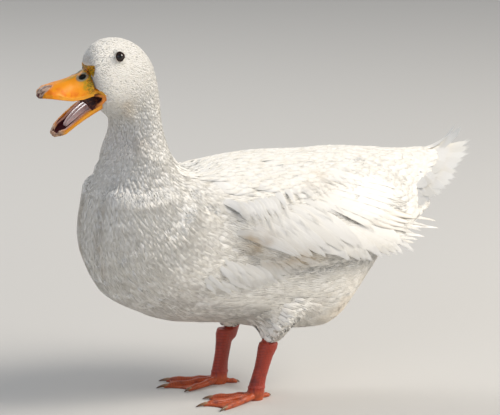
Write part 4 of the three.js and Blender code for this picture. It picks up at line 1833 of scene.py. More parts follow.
@dataclass
class Tail:
    """The tail's stiff feathers, fanned like a shallow roof.

    Attributes:
        root: Where the fan spreads from.
        spread: The outermost feathers' angle from straight behind.
        middle: Reach of the middle feathers.
        outer: Reach of the outermost ones.
        rise: How much higher the middle feathers end than they start.
        droop: How far the outermost ones hang below the middle.
        pairs: Feathers on each side.
        width: A feather's full width.
        shingle: How steeply they tilt sideways, the middle ones lying on top.
        curl: How far the middle pair's tips turn up.
        sunk: How far the lowest layer lies below the fan's surface.
        layer_gap: How far the second layer lies above the first.
        vane: The feathers' shape.
    """

    root: tuple[float, float, float] = (171.2 * MM, 0.0, 258 * MM)
    spread: float = math.radians(80)
    middle: float = 120 * MM
    outer: float = 68 * MM
    rise: float = 33 * MM
    droop: float = 108 * MM
    pairs: int = 14
    width: float = 19 * MM
    shingle: float = 0.1
    curl: float = 20 * MM
    sunk: float = 1.5 * MM
    layer_gap: float = 1.8 * MM
    vane: Vane = Vane(9, 9, 0.88, 0.5, 0.5, 0.14, 0.08, 0.18 * MM, closing=1.2)

    def place(self, turn: float, out: float) -> Array:
        """Returns a place of the fan at a share of its spread and a distance from its root.

        Args:
            turn: The share of its spread, from minus one to one.
            out: The distance from its root.

        Returns:
            The place.
        """
        angle = turn * self.spread
        part = out / self.middle
        height = self.rise * part**1.4 - self.droop * abs(turn) ** 1.3 * part
        return np.array(self.root) + (out * math.cos(angle), out * math.sin(angle), height)

    def build(self, skin_map: SkinMap, finish: Material) -> Object:
        """Lays the tail's feathers from the outermost to the middle ones.

        Args:
            skin_map: Where places of the body are on the skin's bake map.
            finish: The feathers' material.

        Returns:
            The piece.
        """
        plumes = Plumes(skin_map)
        random = np.random.default_rng(5)
        for layer, (share, reach_share) in enumerate(((1.0, 1.0), (0.8, 0.78))):
            for pair in range(self.pairs):
                for side in (-1, 1):
                    turn = side * share * (1 - (pair + 0.5) / self.pairs)
                    reach = lerp(self.middle, self.outer, abs(turn) ** 0.7) * reach_share
                    reach *= random.uniform(0.93, 1.0)
                    curl = random.uniform(0, 3) * MM
                    if layer == 0 and pair == self.pairs - 1:
                        curl, reach = self.curl, 0.9 * reach
                    shape, faces = self.vane.shape(40 + pair + 9 * layer)
                    points, out = self.blade(turn, reach, curl, layer, shape)
                    plumes.add(points, shape, faces, out, random.random())
        return plumes.build("plumes_tail", finish)

    def blade(
        self, turn: float, reach: float, curl: float, layer: int, shape: Array
    ) -> tuple[Array, Array]:
        """Places the vertices of one feather.

        Args:
            turn: Its place in the fan, from minus one to one.
            reach: How far from the fan's root it ends.
            curl: How far its tip curls up.
            layer: The layer that it lies in, the longest being the first.
            shape: The vane's own layout.

        Returns:
            The vertices' places and the way up.
        """
        points = []
        for across, along, _, raised in shape:
            out = lerp(0.2 * self.middle, reach, along)
            here = self.place(turn, out)
            beside = unit(self.place(turn + 0.02, out) - self.place(turn - 0.02, out))
            up = unit(np.cross(unit(self.place(turn, out + MM) - here), beside))
            up = up if up[2] > 0 else -up
            tilt = self.shingle * across * self.width * np.sign(turn)
            stack = self.layer_gap * layer - self.sunk + raised - tilt
            points.append(here + beside * across * self.width + up * (stack + curl * along**3))
        return np.array(points), np.array((0.0, 0.0, 1.0))


# ---------------------------------------------------------------- bill and mouth
@dataclass(frozen=True)
class BillSheath:
    """Finish of the bill: soft leathery skin over horn.

    Attributes:
        orange: Its main colour.
        deep: The deeper orange of its sides.
        olive: Its stained base and ridge.
        blotch: The dark blotches at its base.
        ring: The bare rim of the nostrils.
        rim: Its cutting edge, paler than the rest, with a painted highlight along the upper half's
            front.
        nail: The pale part of its nail.
        worn: The brown streaks of the nail.
        gum: The fleshy shelf inside the lower half's rim.
        inside: Its inner side: darker flesh, deepened by painted shade on the palate and the inner
            walls.
    """

    orange: str = "#F79A0C"
    deep: str = "#EC7A06"
    olive: str = "#B39A1E"
    blotch: str = "#1E1C0A"
    ring: str = "#74827C"
    rim: str = "#F7AE38"
    nail: str = "#C3AA98"
    worn: str = "#5A322C"
    gum: str = "#C98A72"
    inside: str = "#5A2128"

    def make(self) -> Material:
        """Makes the material, which reads the masks stored on the bill.

        Returns:
            The material.
        """
        material, shader, add = new_material("leathery bill sheath")
        place = add("ShaderNodeTexCoord", {}, 3)
        masks = {
            name: add("ShaderNodeAttribute", {}, 2, attribute_name=name)
            for name in ("low", "olive", "spots", "ring", "hole", "rim", "nail", "gum", "inside")
        }
        # Blotches about 2 mm across, mottling about 6 mm across and pores of half a millimetre.
        cloud, spot, pore = (
            add("ShaderNodeTexNoise", {"Vector": place, "Scale": scale, "Detail": detail})
            for scale, detail in ((160.0, 4.0), (330.0, 1.0), (1900.0, 2.0))
        )
        loop = add("ShaderNodeMath", {0: spot, 1: 0.5, 2: 0.035}, operation="COMPARE")
        streaks = add("ShaderNodeMapping", {0: place, 3: (70.0, 420.0, 300.0)})
        streak = add("ShaderNodeTexNoise", {"Vector": streaks, "Scale": 1.0, "Detail": 1.0})
        colour: object = linear(self.orange)
        layers = (
            (self.deep, "low", cloud, 0.42, 0.62, 0.9),
            (self.olive, "olive", cloud, 0.36, 0.56, 0.9),
            (self.blotch, "spots", spot, 0.60, 0.66, 0.9),
            (self.blotch, "spots", loop, 0, 1, 0.75),
            # The paler cutting edge: partly its own colour, partly a painted highlight.
            (self.rim, "rim", None, 0, 1, 0.7),
            (self.nail, "nail", None, 0, 1, 0.9),
            (self.worn, "nail", streak, 0.44, 0.58, 0.75),
            (self.ring, "ring", cloud, 0.25, 0.45, 0.85),
            (self.gum, "gum", None, 0, 1, 0.95),
            # The inside of the mouth: darker flesh, deepened by painted shade.
            (self.inside, "inside", None, 0, 1, 1.0),
            # Painted shade: the nostril's hole is painted near-black.
            ("#0B0907", "hole", None, 0, 1, 0.97),
        )
        for hue, mask, pattern, low, high, strength in layers:
            share = masks[mask]
            if pattern:
                part = add("ShaderNodeMapRange", {0: pattern, 1: low, 2: high})
                share = add("ShaderNodeMath", {0: share, 1: part}, operation="MULTIPLY")
            share = add("ShaderNodeMath", {0: share, 1: strength}, operation="MULTIPLY")
            colour = add("ShaderNodeMix", {0: share, 6: colour, 7: linear(hue)}, 2, data_type="RGBA")
        relief = add("ShaderNodeMath", {0: pore, 1: spot}, operation="ADD")
        bump = add("ShaderNodeBump", {"Strength": 0.25, "Distance": 0.0004, "Height": relief})
        rough = add("ShaderNodeMapRange", {0: cloud, 1: 0.3, 2: 0.7, 3: 0.36, 4: 0.52})
        finish = {
            "Base Color": colour,
            "Normal": bump,
            "Roughness": rough,
            "Specular IOR Level": 0.35,
        }
        feed(shader, finish)
        return material


@dataclass(frozen=True)
class Membrane:
    """Finish of wet skin: the mouth's lining, the tongue and the eyelids.

    Attributes:
        name: The material's name.
        base: Its main colour.
        deep: Its darker colour, laid on by the piece's mask deep and mottled; on the mouth's lining
            and the tongue it is painted shade.
        rough: How matt it is.
        wet: The strength of its wet film.
    """

    name: str
    base: str
    deep: str
    rough: float
    wet: float

    def make(self) -> Material:
        """Makes the material, which reads the mask "deep" stored on its piece.

        Returns:
            The material.
        """
        material, shader, add = new_material(self.name)
        place = add("ShaderNodeTexCoord", {}, 3)
        deep = add("ShaderNodeAttribute", {}, 2, attribute_name="deep")
        # Mottling about 3 mm across and papillae under a millimetre.
        cloud, fine = (
            add("ShaderNodeTexNoise", {"Vector": place, "Scale": scale, "Detail": detail})
            for scale, detail in ((330.0, 4.0), (1500.0, 2.0))
        )
        part = add("ShaderNodeMapRange", {0: cloud, 1: 0.35, 2: 0.65, 3: -0.2, 4: 0.2})
        share = add("ShaderNodeMath", {0: deep, 1: part}, operation="ADD", use_clamp=True)
        links = {0: share, 6: linear(self.base), 7: linear(self.deep)}
        colour = add("ShaderNodeMix", links, 2, data_type="RGBA")
        bump = add("ShaderNodeBump", {"Strength": 0.3, "Distance": 0.0004, "Height": fine})
        finish = {
            "Base Color": colour,
            "Normal": bump,
            "Roughness": self.rough,
            "Coat Weight": self.wet,
            "Coat Roughness": 0.12,
            "Subsurface Weight": 0.15,
            "Subsurface Radius": (0.003, 0.001, 0.0008),
            "Subsurface Scale": 1.0,
        }
        feed(shader, finish)
        return material


@dataclass
class Bill:
    """Both halves of the bill, the mouth's lining and the tongue.

    Attributes:
        cell: Side of the cells that they are sculpted in.
        plate: How far the bare base stands off the head, below zero where it lies deeper.
        nostril: Place of the right nostril in the head's frame, in mm.
        nostril_size: Its half-axes forward, sideways and up, in mm.
        nail: Where the nail's plate starts, where it ends and its half-width, in mm.
        wall: Thickness of the bill's side walls, in mm.
        shelf: How far in from the lower half's side its fleshy shelf reaches, in mm.
        lining_edge: How far beyond the mouth's opening its lining reaches, in mm.
        lining_hollow: How far inside the opening the lining's surface lies, in mm.
        lining_wall: Thickness of the lining's cheeks, in mm.
        tongue_closing: Half the widest gap in the tongue that is closed over, in mm.
        tongue_swell: How much fuller than its solid the tongue is, in mm.
        tongue_groove: Depth and half-width of the groove along the tongue, in mm.
    """

    cell: float = 0.65 * MM
    plate: float = -0.45 * MM
    nostril: tuple[float, float, float] = (62.2, 6.2, 388.8)
    nostril_size: tuple[float, float, float] = (4.3, 3.2, 2.3)
    nail: tuple[float, float, float] = (98.0, 112.5, 7.0)
    wall: float = 2.4
    shelf: float = 5.6
    lining_edge: float = 2.6
    lining_hollow: float = 0.7
    lining_wall: float = 2.2
    tongue_closing: float = 2.4
    tongue_swell: float = 0.3
    tongue_groove: tuple[float, float] = (0.5, 1.8)

    def edge_height(self, forward: Array) -> Array:
        """Returns the height of the upper half's cutting edge, in mm."""
        places = (38, 41, 52.8, 64.6, 77.3, 90.7, 96, 111)
        return np.interp(forward, places, (375.5, 373.8, 369.6, 367.2, 366.3, 370, 372.3, 369.9))

    def half_width(self, forward: Array) -> Array:
        """Returns the upper half's half-width at its cutting edge, in mm."""
        return np.interp(forward, (46, 62, 78, 94, 102, 110, 113), (16.5, 15.5, 16, 17, 15.5, 11, 4))

    def on_nail(self, forward: Array, right: Array) -> Array:
        """Returns how far out from the nail's tip points lie, the edge of its plate being one."""
        start, end, half = self.nail
        return np.hypot((forward - end) / (end - start), right / half)

    def hole(self, place: Array) -> Array:
        """Returns how far out from the nostril's middle points lie, its edge being one.

        Args:
            place: The points in the head's frame, in mm.

        Returns:
            The ratio, below one in the hole.
        """
        forward, right, height = np.moveaxis(place, -1, 0)
        slope = math.radians(-24)
        ahead, above = forward - self.nostril[0], height - self.nostril[2]
        long = ahead * math.cos(slope) + above * math.sin(slope)
        tall = above * math.cos(slope) - ahead * math.sin(slope)
        across = np.abs(right) - self.nostril[1]
        a, b, c = self.nostril_size
        return np.sqrt((long / a) ** 2 + (across / b) ** 2 + (tall / c) ** 2)

    def upper(self, finish: Material) -> Object:
        """Sculpts the upper half with its bare base.

        Args:
            finish: The bill's material.

        Returns:
            The piece, with the finish's masks stored on it.
        """
        clay = Clay.around(*node_surface("upper_bill"), self.cell, 14 * MM)
        place = HEAD.to_head(clay.places()) / MM
        forward, right, height = np.moveaxis(place, -1, 0)
        head = (clay.distance_to(*node_surface("head")) - self.plate) / MM
        base = np.maximum.reduce([head, -bill_border(place), 369 - height])
        above = height - self.edge_height(forward)
        calm = smoothstep(above, 2.0, 5.0) * smoothstep(100 - forward, 0.0, 8.0)
        value = lerp(clay.values, self.softened(clay.values), calm) / MM - 0.25 * calm
        value = round_over(value, base, 1.5)
        thicker = 2.2 * smoothstep(forward, 80.0, 92.0)
        palate = np.maximum.reduce(
            [
                np.abs(right) - self.half_width(forward) + self.wall + thicker,
                above - 2.8,
                48 - forward,
                1.6 * (forward - 98) + above,
            ]
        )
        value = -round_over(-value, palate, 1.0)
        hole = self.hole(place)
        value -= 0.55 * np.exp(-(((hole - 1.45) / 0.3) ** 2))
        value = np.maximum(value, (1 - hole) * 2.4)
        plate = self.on_nail(forward, right)
        top = smoothstep(height, 373.0, 376.0)
        value += 0.5 * np.exp(-(((plate - 1) / 0.09) ** 2)) * top
        value -= 0.35 * smoothstep(1 - plate, -0.05, 0.15) * top
        value -= 0.4 * np.exp(-(((above - 1.3) / 1.0) ** 2)) * smoothstep(105 - forward, 0.0, 6.0)
        made = clay.fired("bill_upper", value, 3, finish)
        self.paint_upper(made)
        return made

    def softened(self, values: Array) -> Array:
        """Returns a block of distances without its small ridges, blurred over about 2 mm.

        Args:
            values: The distances.

        Returns:
            The blurred distances.
        """
        for _ in range(24):
            for axis in range(3):
                ahead, behind = np.roll(values, 1, axis), np.roll(values, -1, axis)
                values = 0.5 * values + 0.25 * (ahead + behind)
        return values

    def paint_upper(self, made: Object) -> None:
        """Stores the masks of the upper half's colours.

        Args:
            made: The upper half.
        """
        place = HEAD.to_head(vertex_places(made.data)) / MM
        forward, right, height = place.T
        normals = vertex_normals(made.data)
        above = height - self.edge_height(forward)
        hole = self.hole(place)
        plate = self.on_nail(forward, right)
        inner = np.abs(right) < self.half_width(forward) - 0.8 * self.wall
        behind = smoothstep(height - 0.55 * (forward - 62), 371.0, 379.0)
        ridge = smoothstep(4.5 - np.abs(right), 0.0, 3.0) * smoothstep(96 - forward, 0.0, 26.0)
        masks = {
            "low": smoothstep(above, 14.0, 4.0) * smoothstep(forward, 50.0, 70.0),
            "olive": np.maximum(smoothstep(71 - forward, 0.0, 12.0) * behind, 0.8 * ridge),
            "spots": smoothstep(61 - forward, 0.0, 6.0) * behind,
            "ring": smoothstep(hole, 2.1, 1.5),
            # Painted shade inside the nostril.
            "hole": smoothstep(hole, 1.25, 1.0),
            # The paler cutting edge towards the front: partly its own colour, partly a painted
            # highlight.
            "rim": smoothstep(above, 2.6, 1.4) * smoothstep(100 - forward, 0.0, 8.0),
            "nail": smoothstep(1.06 - plate, -0.04, 0.1),
            # Painted shade on the downward-facing palate, over the flesh's own darker colour.
            "inside": inner * smoothstep(above, 3.4, 2.2) * (normals[:, 2] < 0.2),
        }
        store_masks(made, masks)

    def lower(self, finish: Material) -> Object:
        """Sculpts the lower half.

        Args:
            finish: The bill's material.

        Returns:
            The piece, with the finish's masks stored on it.
        """
        clay = Clay.around(*node_surface("lower_bill"), self.cell, 6 * MM)
        forward, right, height = HEAD.parts(clay.places())
        above, half = self.on_jaw(forward, height)
        shelf = np.maximum.reduce(
            [
                np.abs(right) - half + 1.0,
                half - self.shelf - np.abs(right),
                np.abs(above + 3.4) - 2.2,
                38 - forward,
                forward - 84,
            ]
        )
        ribs = np.sin(forward * 2 * math.pi / 2.2) * (np.abs(right) > half - self.shelf)
        value = round_over(clay.values / MM, shelf, 1.0) + 0.09 * ribs * smoothstep(above, -2.5, -1.0)
        made = clay.fired("bill_lower", value, 3, finish)
        forward, right, height = HEAD.parts(vertex_places(made.data))
        above, half = self.on_jaw(forward, height)
        outer = smoothstep(np.abs(right) - half, -1.7, -1.0)
        low = smoothstep(-above, 2.0, 3.2)
        inward = self.facing_in(made)
        masks = {
            "low": np.full(len(right), 0.35),
            "nail": smoothstep(forward, 79.0, 84.0) * 0.8,
            "rim": outer * smoothstep(-above, -0.5, 2.5),
            "gum": (1 - outer) * smoothstep(above, -5.0, -3.5) * smoothstep(82 - forward, 0.0, 4.0),
            # Painted shade on the inner walls that face the middle and on the floor inside the shelf,
            # over the flesh's own darker colour.
            "inside": np.maximum(
                smoothstep(half - self.shelf + 0.6 - np.abs(right), 0.0, 0.8) * low,
                smoothstep(inward, 0.35, 0.7) * (1 - outer),
            ),
        }
        store_masks(made, masks)
        return made

    def facing_in(self, made: Object) -> Array:
        """Returns how squarely each vertex of a piece faces the head's middle plane.

        Args:
            made: The piece.

        Returns:
            One for a vertex that faces it squarely and minus one for one that faces away.
        """
        places, normals = vertex_places(made.data), vertex_normals(made.data)
        right = HEAD.to_head(places)[:, 1]
        return (HEAD.to_head(places + normals * MM)[:, 1] - right) / MM * -np.sign(right)

    def on_jaw(self, forward: Array, height: Array) -> tuple[Array, Array]:
        """Returns how far places are above the lower half's rim, and its half-width there, in mm.

        Args:
            forward: How far forward the places are, in mm.
            height: Their height, in mm.

        Returns:
            The height above the rim, square to it, and the half-width.
        """
        places = (33, 38, 46, 54, 62, 70, 78, 86, 88)
        rim = np.interp(forward, places, (358.4, 358.4, 355.4, 349.7, 343.2, 335.4, 329.5, 324.5, 322))
        half = np.interp(forward, places, (16.7, 16.7, 16.6, 14.1, 13.7, 13.2, 13.4, 7.2, 4.0))
        return (height - rim) * 0.82, half

    def lining(self, finish: Material) -> Object:
        """Sculpts the lining of the mouth's back, with the fleshy corners of the gape.

        Args:
            finish: The lining's material.

        Returns:
            The piece.
        """
        clay = Clay.around(*node_surface("head"), self.cell, 4 * MM)
        forward, right, height = HEAD.parts(clay.places())
        opening = inside_outline(forward, height, MOUTH)
        half = np.interp(forward, (30, 40, 52), (19.5, 20.5, 15.5))
        shell = np.maximum.reduce([opening - self.lining_edge, np.abs(right) - half, forward - 50])
        hollow = np.maximum(opening + self.lining_hollow, np.abs(right) - half + self.lining_wall)
        front = np.maximum(40.5 - forward, opening + self.lining_hollow)
        hollow = np.minimum(hollow, front)
        value = -round_over(-shell, hollow, 1.2)
        made = clay.fired("mouth_lining", value, 4, finish)
        forward, right, height = HEAD.parts(vertex_places(made.data))
        # Painted shade: the lining turns near-black towards the middle of the mouth, deep in the
        # throat.
        inner = smoothstep(20.5 - np.abs(right), 1.0, 4.0)
        store_masks(made, {"deep": np.maximum(inner, smoothstep(41 - forward, 0.0, 4.0) * inner)})
        return made

    def tongue(self, finish: Material) -> Object:
        """Sculpts the tongue with the groove along its middle.

        Args:
            finish: The tongue's material.

        Returns:
            The piece.
        """
        clay = Clay.around(*node_surface("tongue"), self.cell, 5 * MM)
        forward, right, height = HEAD.parts(clay.places())
        closing, (depth, width) = self.tongue_closing, self.tongue_groove
        whole = clay.distance_to(*clay.surface(closing * MM, 2)) / MM + closing
        value = whole + depth * np.exp(-((right / width) ** 2)) - self.tongue_swell
        made = clay.fired("tongue_surface", value, 4, finish)
        forward, right, height = HEAD.parts(vertex_places(made.data))
        # Painted shade: the tongue darkens towards the throat and along its groove.
        deep = np.maximum(smoothstep(56 - forward, 0.0, 16.0), np.exp(-((right / 1.4) ** 2)) * 0.5)
        store_masks(made, {"deep": deep})
        return made


def store_masks(made: Object, masks: dict[str, Array]) -> None:
    """Stores a finish's masks on a piece, one number for each vertex."""
    for name, values in masks.items():
        set_attribute(made.data, name, "FLOAT", "POINT", values)


# ---------------------------------------------------------------- eyes
@dataclass(frozen=True)
class EyeFilm:
    """Finish of the eye: a dark brown iris under a wet cornea.

    Attributes:
        pupil: Colour of the pupil.
        iris: Colour of the iris.
    """

    pupil: str = "#050403"
    iris: str = "#2B160C"

    def make(self) -> Material:
        """Makes the material, which reads the mask "iris" stored on the eye.

        Returns:
            The material.
        """
        material, shader, add = new_material("wet cornea over a brown iris")
        iris = add("ShaderNodeAttribute", {}, 2, attribute_name="iris")
        place = add("ShaderNodeTexCoord", {}, 3)
        fibre = add("ShaderNodeTexNoise", {"Vector": place, "Scale": 1600.0, "Detail": 2.0})
        part = add("ShaderNodeMapRange", {0: fibre, 1: 0.3, 2: 0.7, 3: 0.6, 4: 1.0})
        share = add("ShaderNodeMath", {0: iris, 1: part}, operation="MULTIPLY")
        links = {0: share, 6: linear(self.pupil), 7: linear(self.iris)}
        colour = add("ShaderNodeMix", links, 2, data_type="RGBA")
        feed(shader, {"Base Color": colour, "Roughness": 0.05})
        return material


@dataclass
class Eye:
    """One eye with its lids.

    Attributes:
        name: Left or right.
        side: Minus one for the left and one for the right.
        radius: The ball's radius, in mm.
        bulge: How far the cornea stands off the ball, in mm.
        opening: Half-width and half-height of the gap between the lids, in mm.
        lid: Thickness of the lids, in mm.
        reach: Where the lids end, from the middle, in mm.
        cell: Side of the cells that the lids are sculpted in.
    """

    name: str
    side: int
    radius: float = 7.0
    bulge: float = 0.6
    opening: tuple[float, float] = (4.7, 5.5)
    lid: float = 0.7
    reach: float = 6.1
    cell: float = 0.4 * MM

    def middle(self) -> Array:
        """Returns the ball's centre in the head's frame, in mm."""
        return EYE_PLACE * (1, self.side, 1)

    def axes(self) -> Array:
        """Returns the ways ahead, out and up as the eye sees them, one row each.

        Returns:
            The three ways, in the head's frame.
        """
        out = unit(EYE_WAY * (1, self.side, 1))
        ahead = unit(np.array([1.0, 0, 0]) - out * out[0])
        up = np.cross(ahead, out) * self.side
        return np.array([ahead, out, up])

    def ball(self, finish: Material) -> Object:
        """Makes the ball with its cornea.

        Args:
            finish: The eye's material.

        Returns:
            The piece.
        """
        shape = bmesh.new()
        bmesh.ops.create_icosphere(shape, subdivisions=5, radius=1.0)
        ways = np.array([vertex.co for vertex in shape.verts])
        faces = [[vertex.index for vertex in face.verts] for face in shape.faces]
        shape.free()
        _, out, _ = (ways @ self.axes().T).T
        away = np.where(out > 0, np.sqrt(np.maximum(1 - out**2, 0)), 2)
        reach = self.radius + self.bulge * smoothstep(-away, -0.75, 0.0)
        points = HEAD.to_world((self.middle() + ways * reach[:, None]) * MM)
        faces = [face[::-1] for face in faces]  # the head's frame is left-handed
        made = make_object(f"eyeball_{self.name}", points, faces, finish)
        store_masks(made, {"iris": smoothstep(away, 0.3, 0.42)})
        return made

    def lids(self, finish: Material) -> Object:
        """Sculpts the bare rim of both lids.

        Args:
            finish: The lids' material.

        Returns:
            The piece.
        """
        middle = HEAD.to_world(self.middle() * MM)
        room = (self.reach + 3) * MM
        clay = Clay.between(middle - room, middle + room, self.cell)
        ahead, out, up = self.seen(clay.places())
        shell = np.sqrt(ahead**2 + out**2 + up**2) - self.radius - self.lid
        gap, tall = self.gap(ahead, up)
        swollen = 0.25 * np.exp(-(((gap - 1.12) / 0.12) ** 2))
        ring = np.hypot(ahead, up) - self.reach
        value = np.maximum.reduce([shell - swollen, (1 - gap) * tall, ring, 1.5 - out])
        made = clay.fired(f"eyelids_{self.name}", value, 3, finish)
        ahead, out, up = self.seen(vertex_places(made.data))
        rear = smoothstep(-ahead, 2.5, 4.5) * smoothstep(up, -3.0, 0.0)
        edge = 1 - smoothstep(self.gap(ahead, up)[0], 1.0, 1.15)
        store_masks(made, {"deep": np.maximum(rear * 0.6, edge)})
        return made

    def seen(self, points: Array) -> Array:
        """Returns world points from the eye's middle, as ahead, out and up, in mm."""
        place = HEAD.to_head(points) / MM - self.middle()
        return np.moveaxis(place @ self.axes().T, -1, 0)

    def gap(self, ahead: Array, up: Array) -> tuple[Array, Array]:
        """Returns how far out from the gap's middle places are, its edge being one, and its height.

        Args:
            ahead: How far ahead of the middle the places are, in mm.
            up: How far above it, in mm.

        Returns:
            The ratio and the gap's half-height there, in mm.
        """
        wide, tall = self.opening
        corner = smoothstep(-ahead, 2.0, 6.5)  # the rear corner is drawn out to a point
        tall = tall * (1 - 0.55 * corner)
        return np.hypot(ahead / (wide * (1 + 0.35 * corner)), up / tall), tall


# ---------------------------------------------------------------- legs
@dataclass(frozen=True)
class LegScales:
    """Finish of the scaly legs, the toes and the webs.

    Attributes:
        red: Its main colour.
        dark: Its mottling and the grooves between the scales.
        orange: The webs.
    """

    red: str = "#A8341A"
    dark: str = "#6A1C12"
    orange: str = "#BC5220"

    def make(self) -> Material:
        """Makes the material, which reads the masks stored on the leg.

        Returns:
            The material.
        """
        material, shader, add = new_material("scaly skin of the leg")
        place = add("ShaderNodeTexCoord", {}, 3)
        web = add("ShaderNodeAttribute", {}, 2, attribute_name="web")
        groove = add("ShaderNodeAttribute", {}, 2, attribute_name="groove")
        # Mottling about 9 mm across, grains of a millimetre (coarser than the real third of one,
        # which would not show) and wrinkles of the web.
        cloud = add("ShaderNodeTexNoise", {"Vector": place, "Scale": 110.0, "Detail": 4.0})
        links = {"Vector": place, "Scale": 900.0}
        grain = add("ShaderNodeTexVoronoi", links, feature="DISTANCE_TO_EDGE")
        wrinkle = add("ShaderNodeTexNoise", {"Vector": place, "Scale": 500.0, "Detail": 3.0})
        patchy = add("ShaderNodeMapRange", {0: cloud, 1: 0.5, 2: 0.72, 3: 0.0, 4: 0.7})
        dark = add("ShaderNodeMath", {0: patchy, 1: groove}, operation="MAXIMUM")
        links = {0: web, 6: linear(self.red), 7: linear(self.orange)}
        colour = add("ShaderNodeMix", links, 2, data_type="RGBA")
        colour = add("ShaderNodeMix", {0: dark, 6: colour, 7: linear(self.dark)}, 2, data_type="RGBA")
        edges = add("ShaderNodeMapRange", {0: grain, 1: 0.0, 2: 0.12})
        relief = add("ShaderNodeMath", {0: wrinkle, 1: edges}, operation="ADD")
        bump = add("ShaderNodeBump", {"Strength": 0.35, "Distance": 0.0004, "Height": relief})
        finish = {
            "Base Color": colour,
            "Normal": bump,
            "Roughness": 0.42,
            "Coat Weight": 0.2,
            "Coat Roughness": 0.25,
        }
        feed(shader, finish)
        return material


@dataclass(frozen=True)
class ClawHorn:
    """Finish of the claws: horn with growth lines.

    Attributes:
        pale: Its colour at the root.
        dark: Its colour at the tip.
    """

    pale: str = "#A67B57"
    dark: str = "#3C2A1E"

    def make(self) -> Material:
        """Makes the material, which reads the mask "tip" stored on the claws.

        Returns:
            The material.
        """
        material, shader, add = new_material("horn of the claws")
        place = add("ShaderNodeTexCoord", {}, 3)
        tip = add("ShaderNodeAttribute", {}, 2, attribute_name="tip")
        stretched = add("ShaderNodeMapping", {0: place, 3: (300.0, 1600.0, 1600.0)})
        lines = add("ShaderNodeTexNoise", {"Vector": stretched, "Scale": 1.0, "Detail": 2.0})
        part = add("ShaderNodeMapRange", {0: lines, 1: 0.3, 2: 0.7, 3: -0.2, 4: 0.2})
        share = add("ShaderNodeMath", {0: tip, 1: part}, operation="ADD", use_clamp=True)
        links = {0: share, 6: linear(self.pale), 7: linear(self.dark)}
        colour = add("ShaderNodeMix", links, 2, data_type="RGBA")
        bump = add("ShaderNodeBump", {"Strength": 0.2, "Distance": 0.0003, "Height": lines})
        feed(shader, {"Base Color": colour, "Normal": bump, "Roughness": 0.35})
        return material


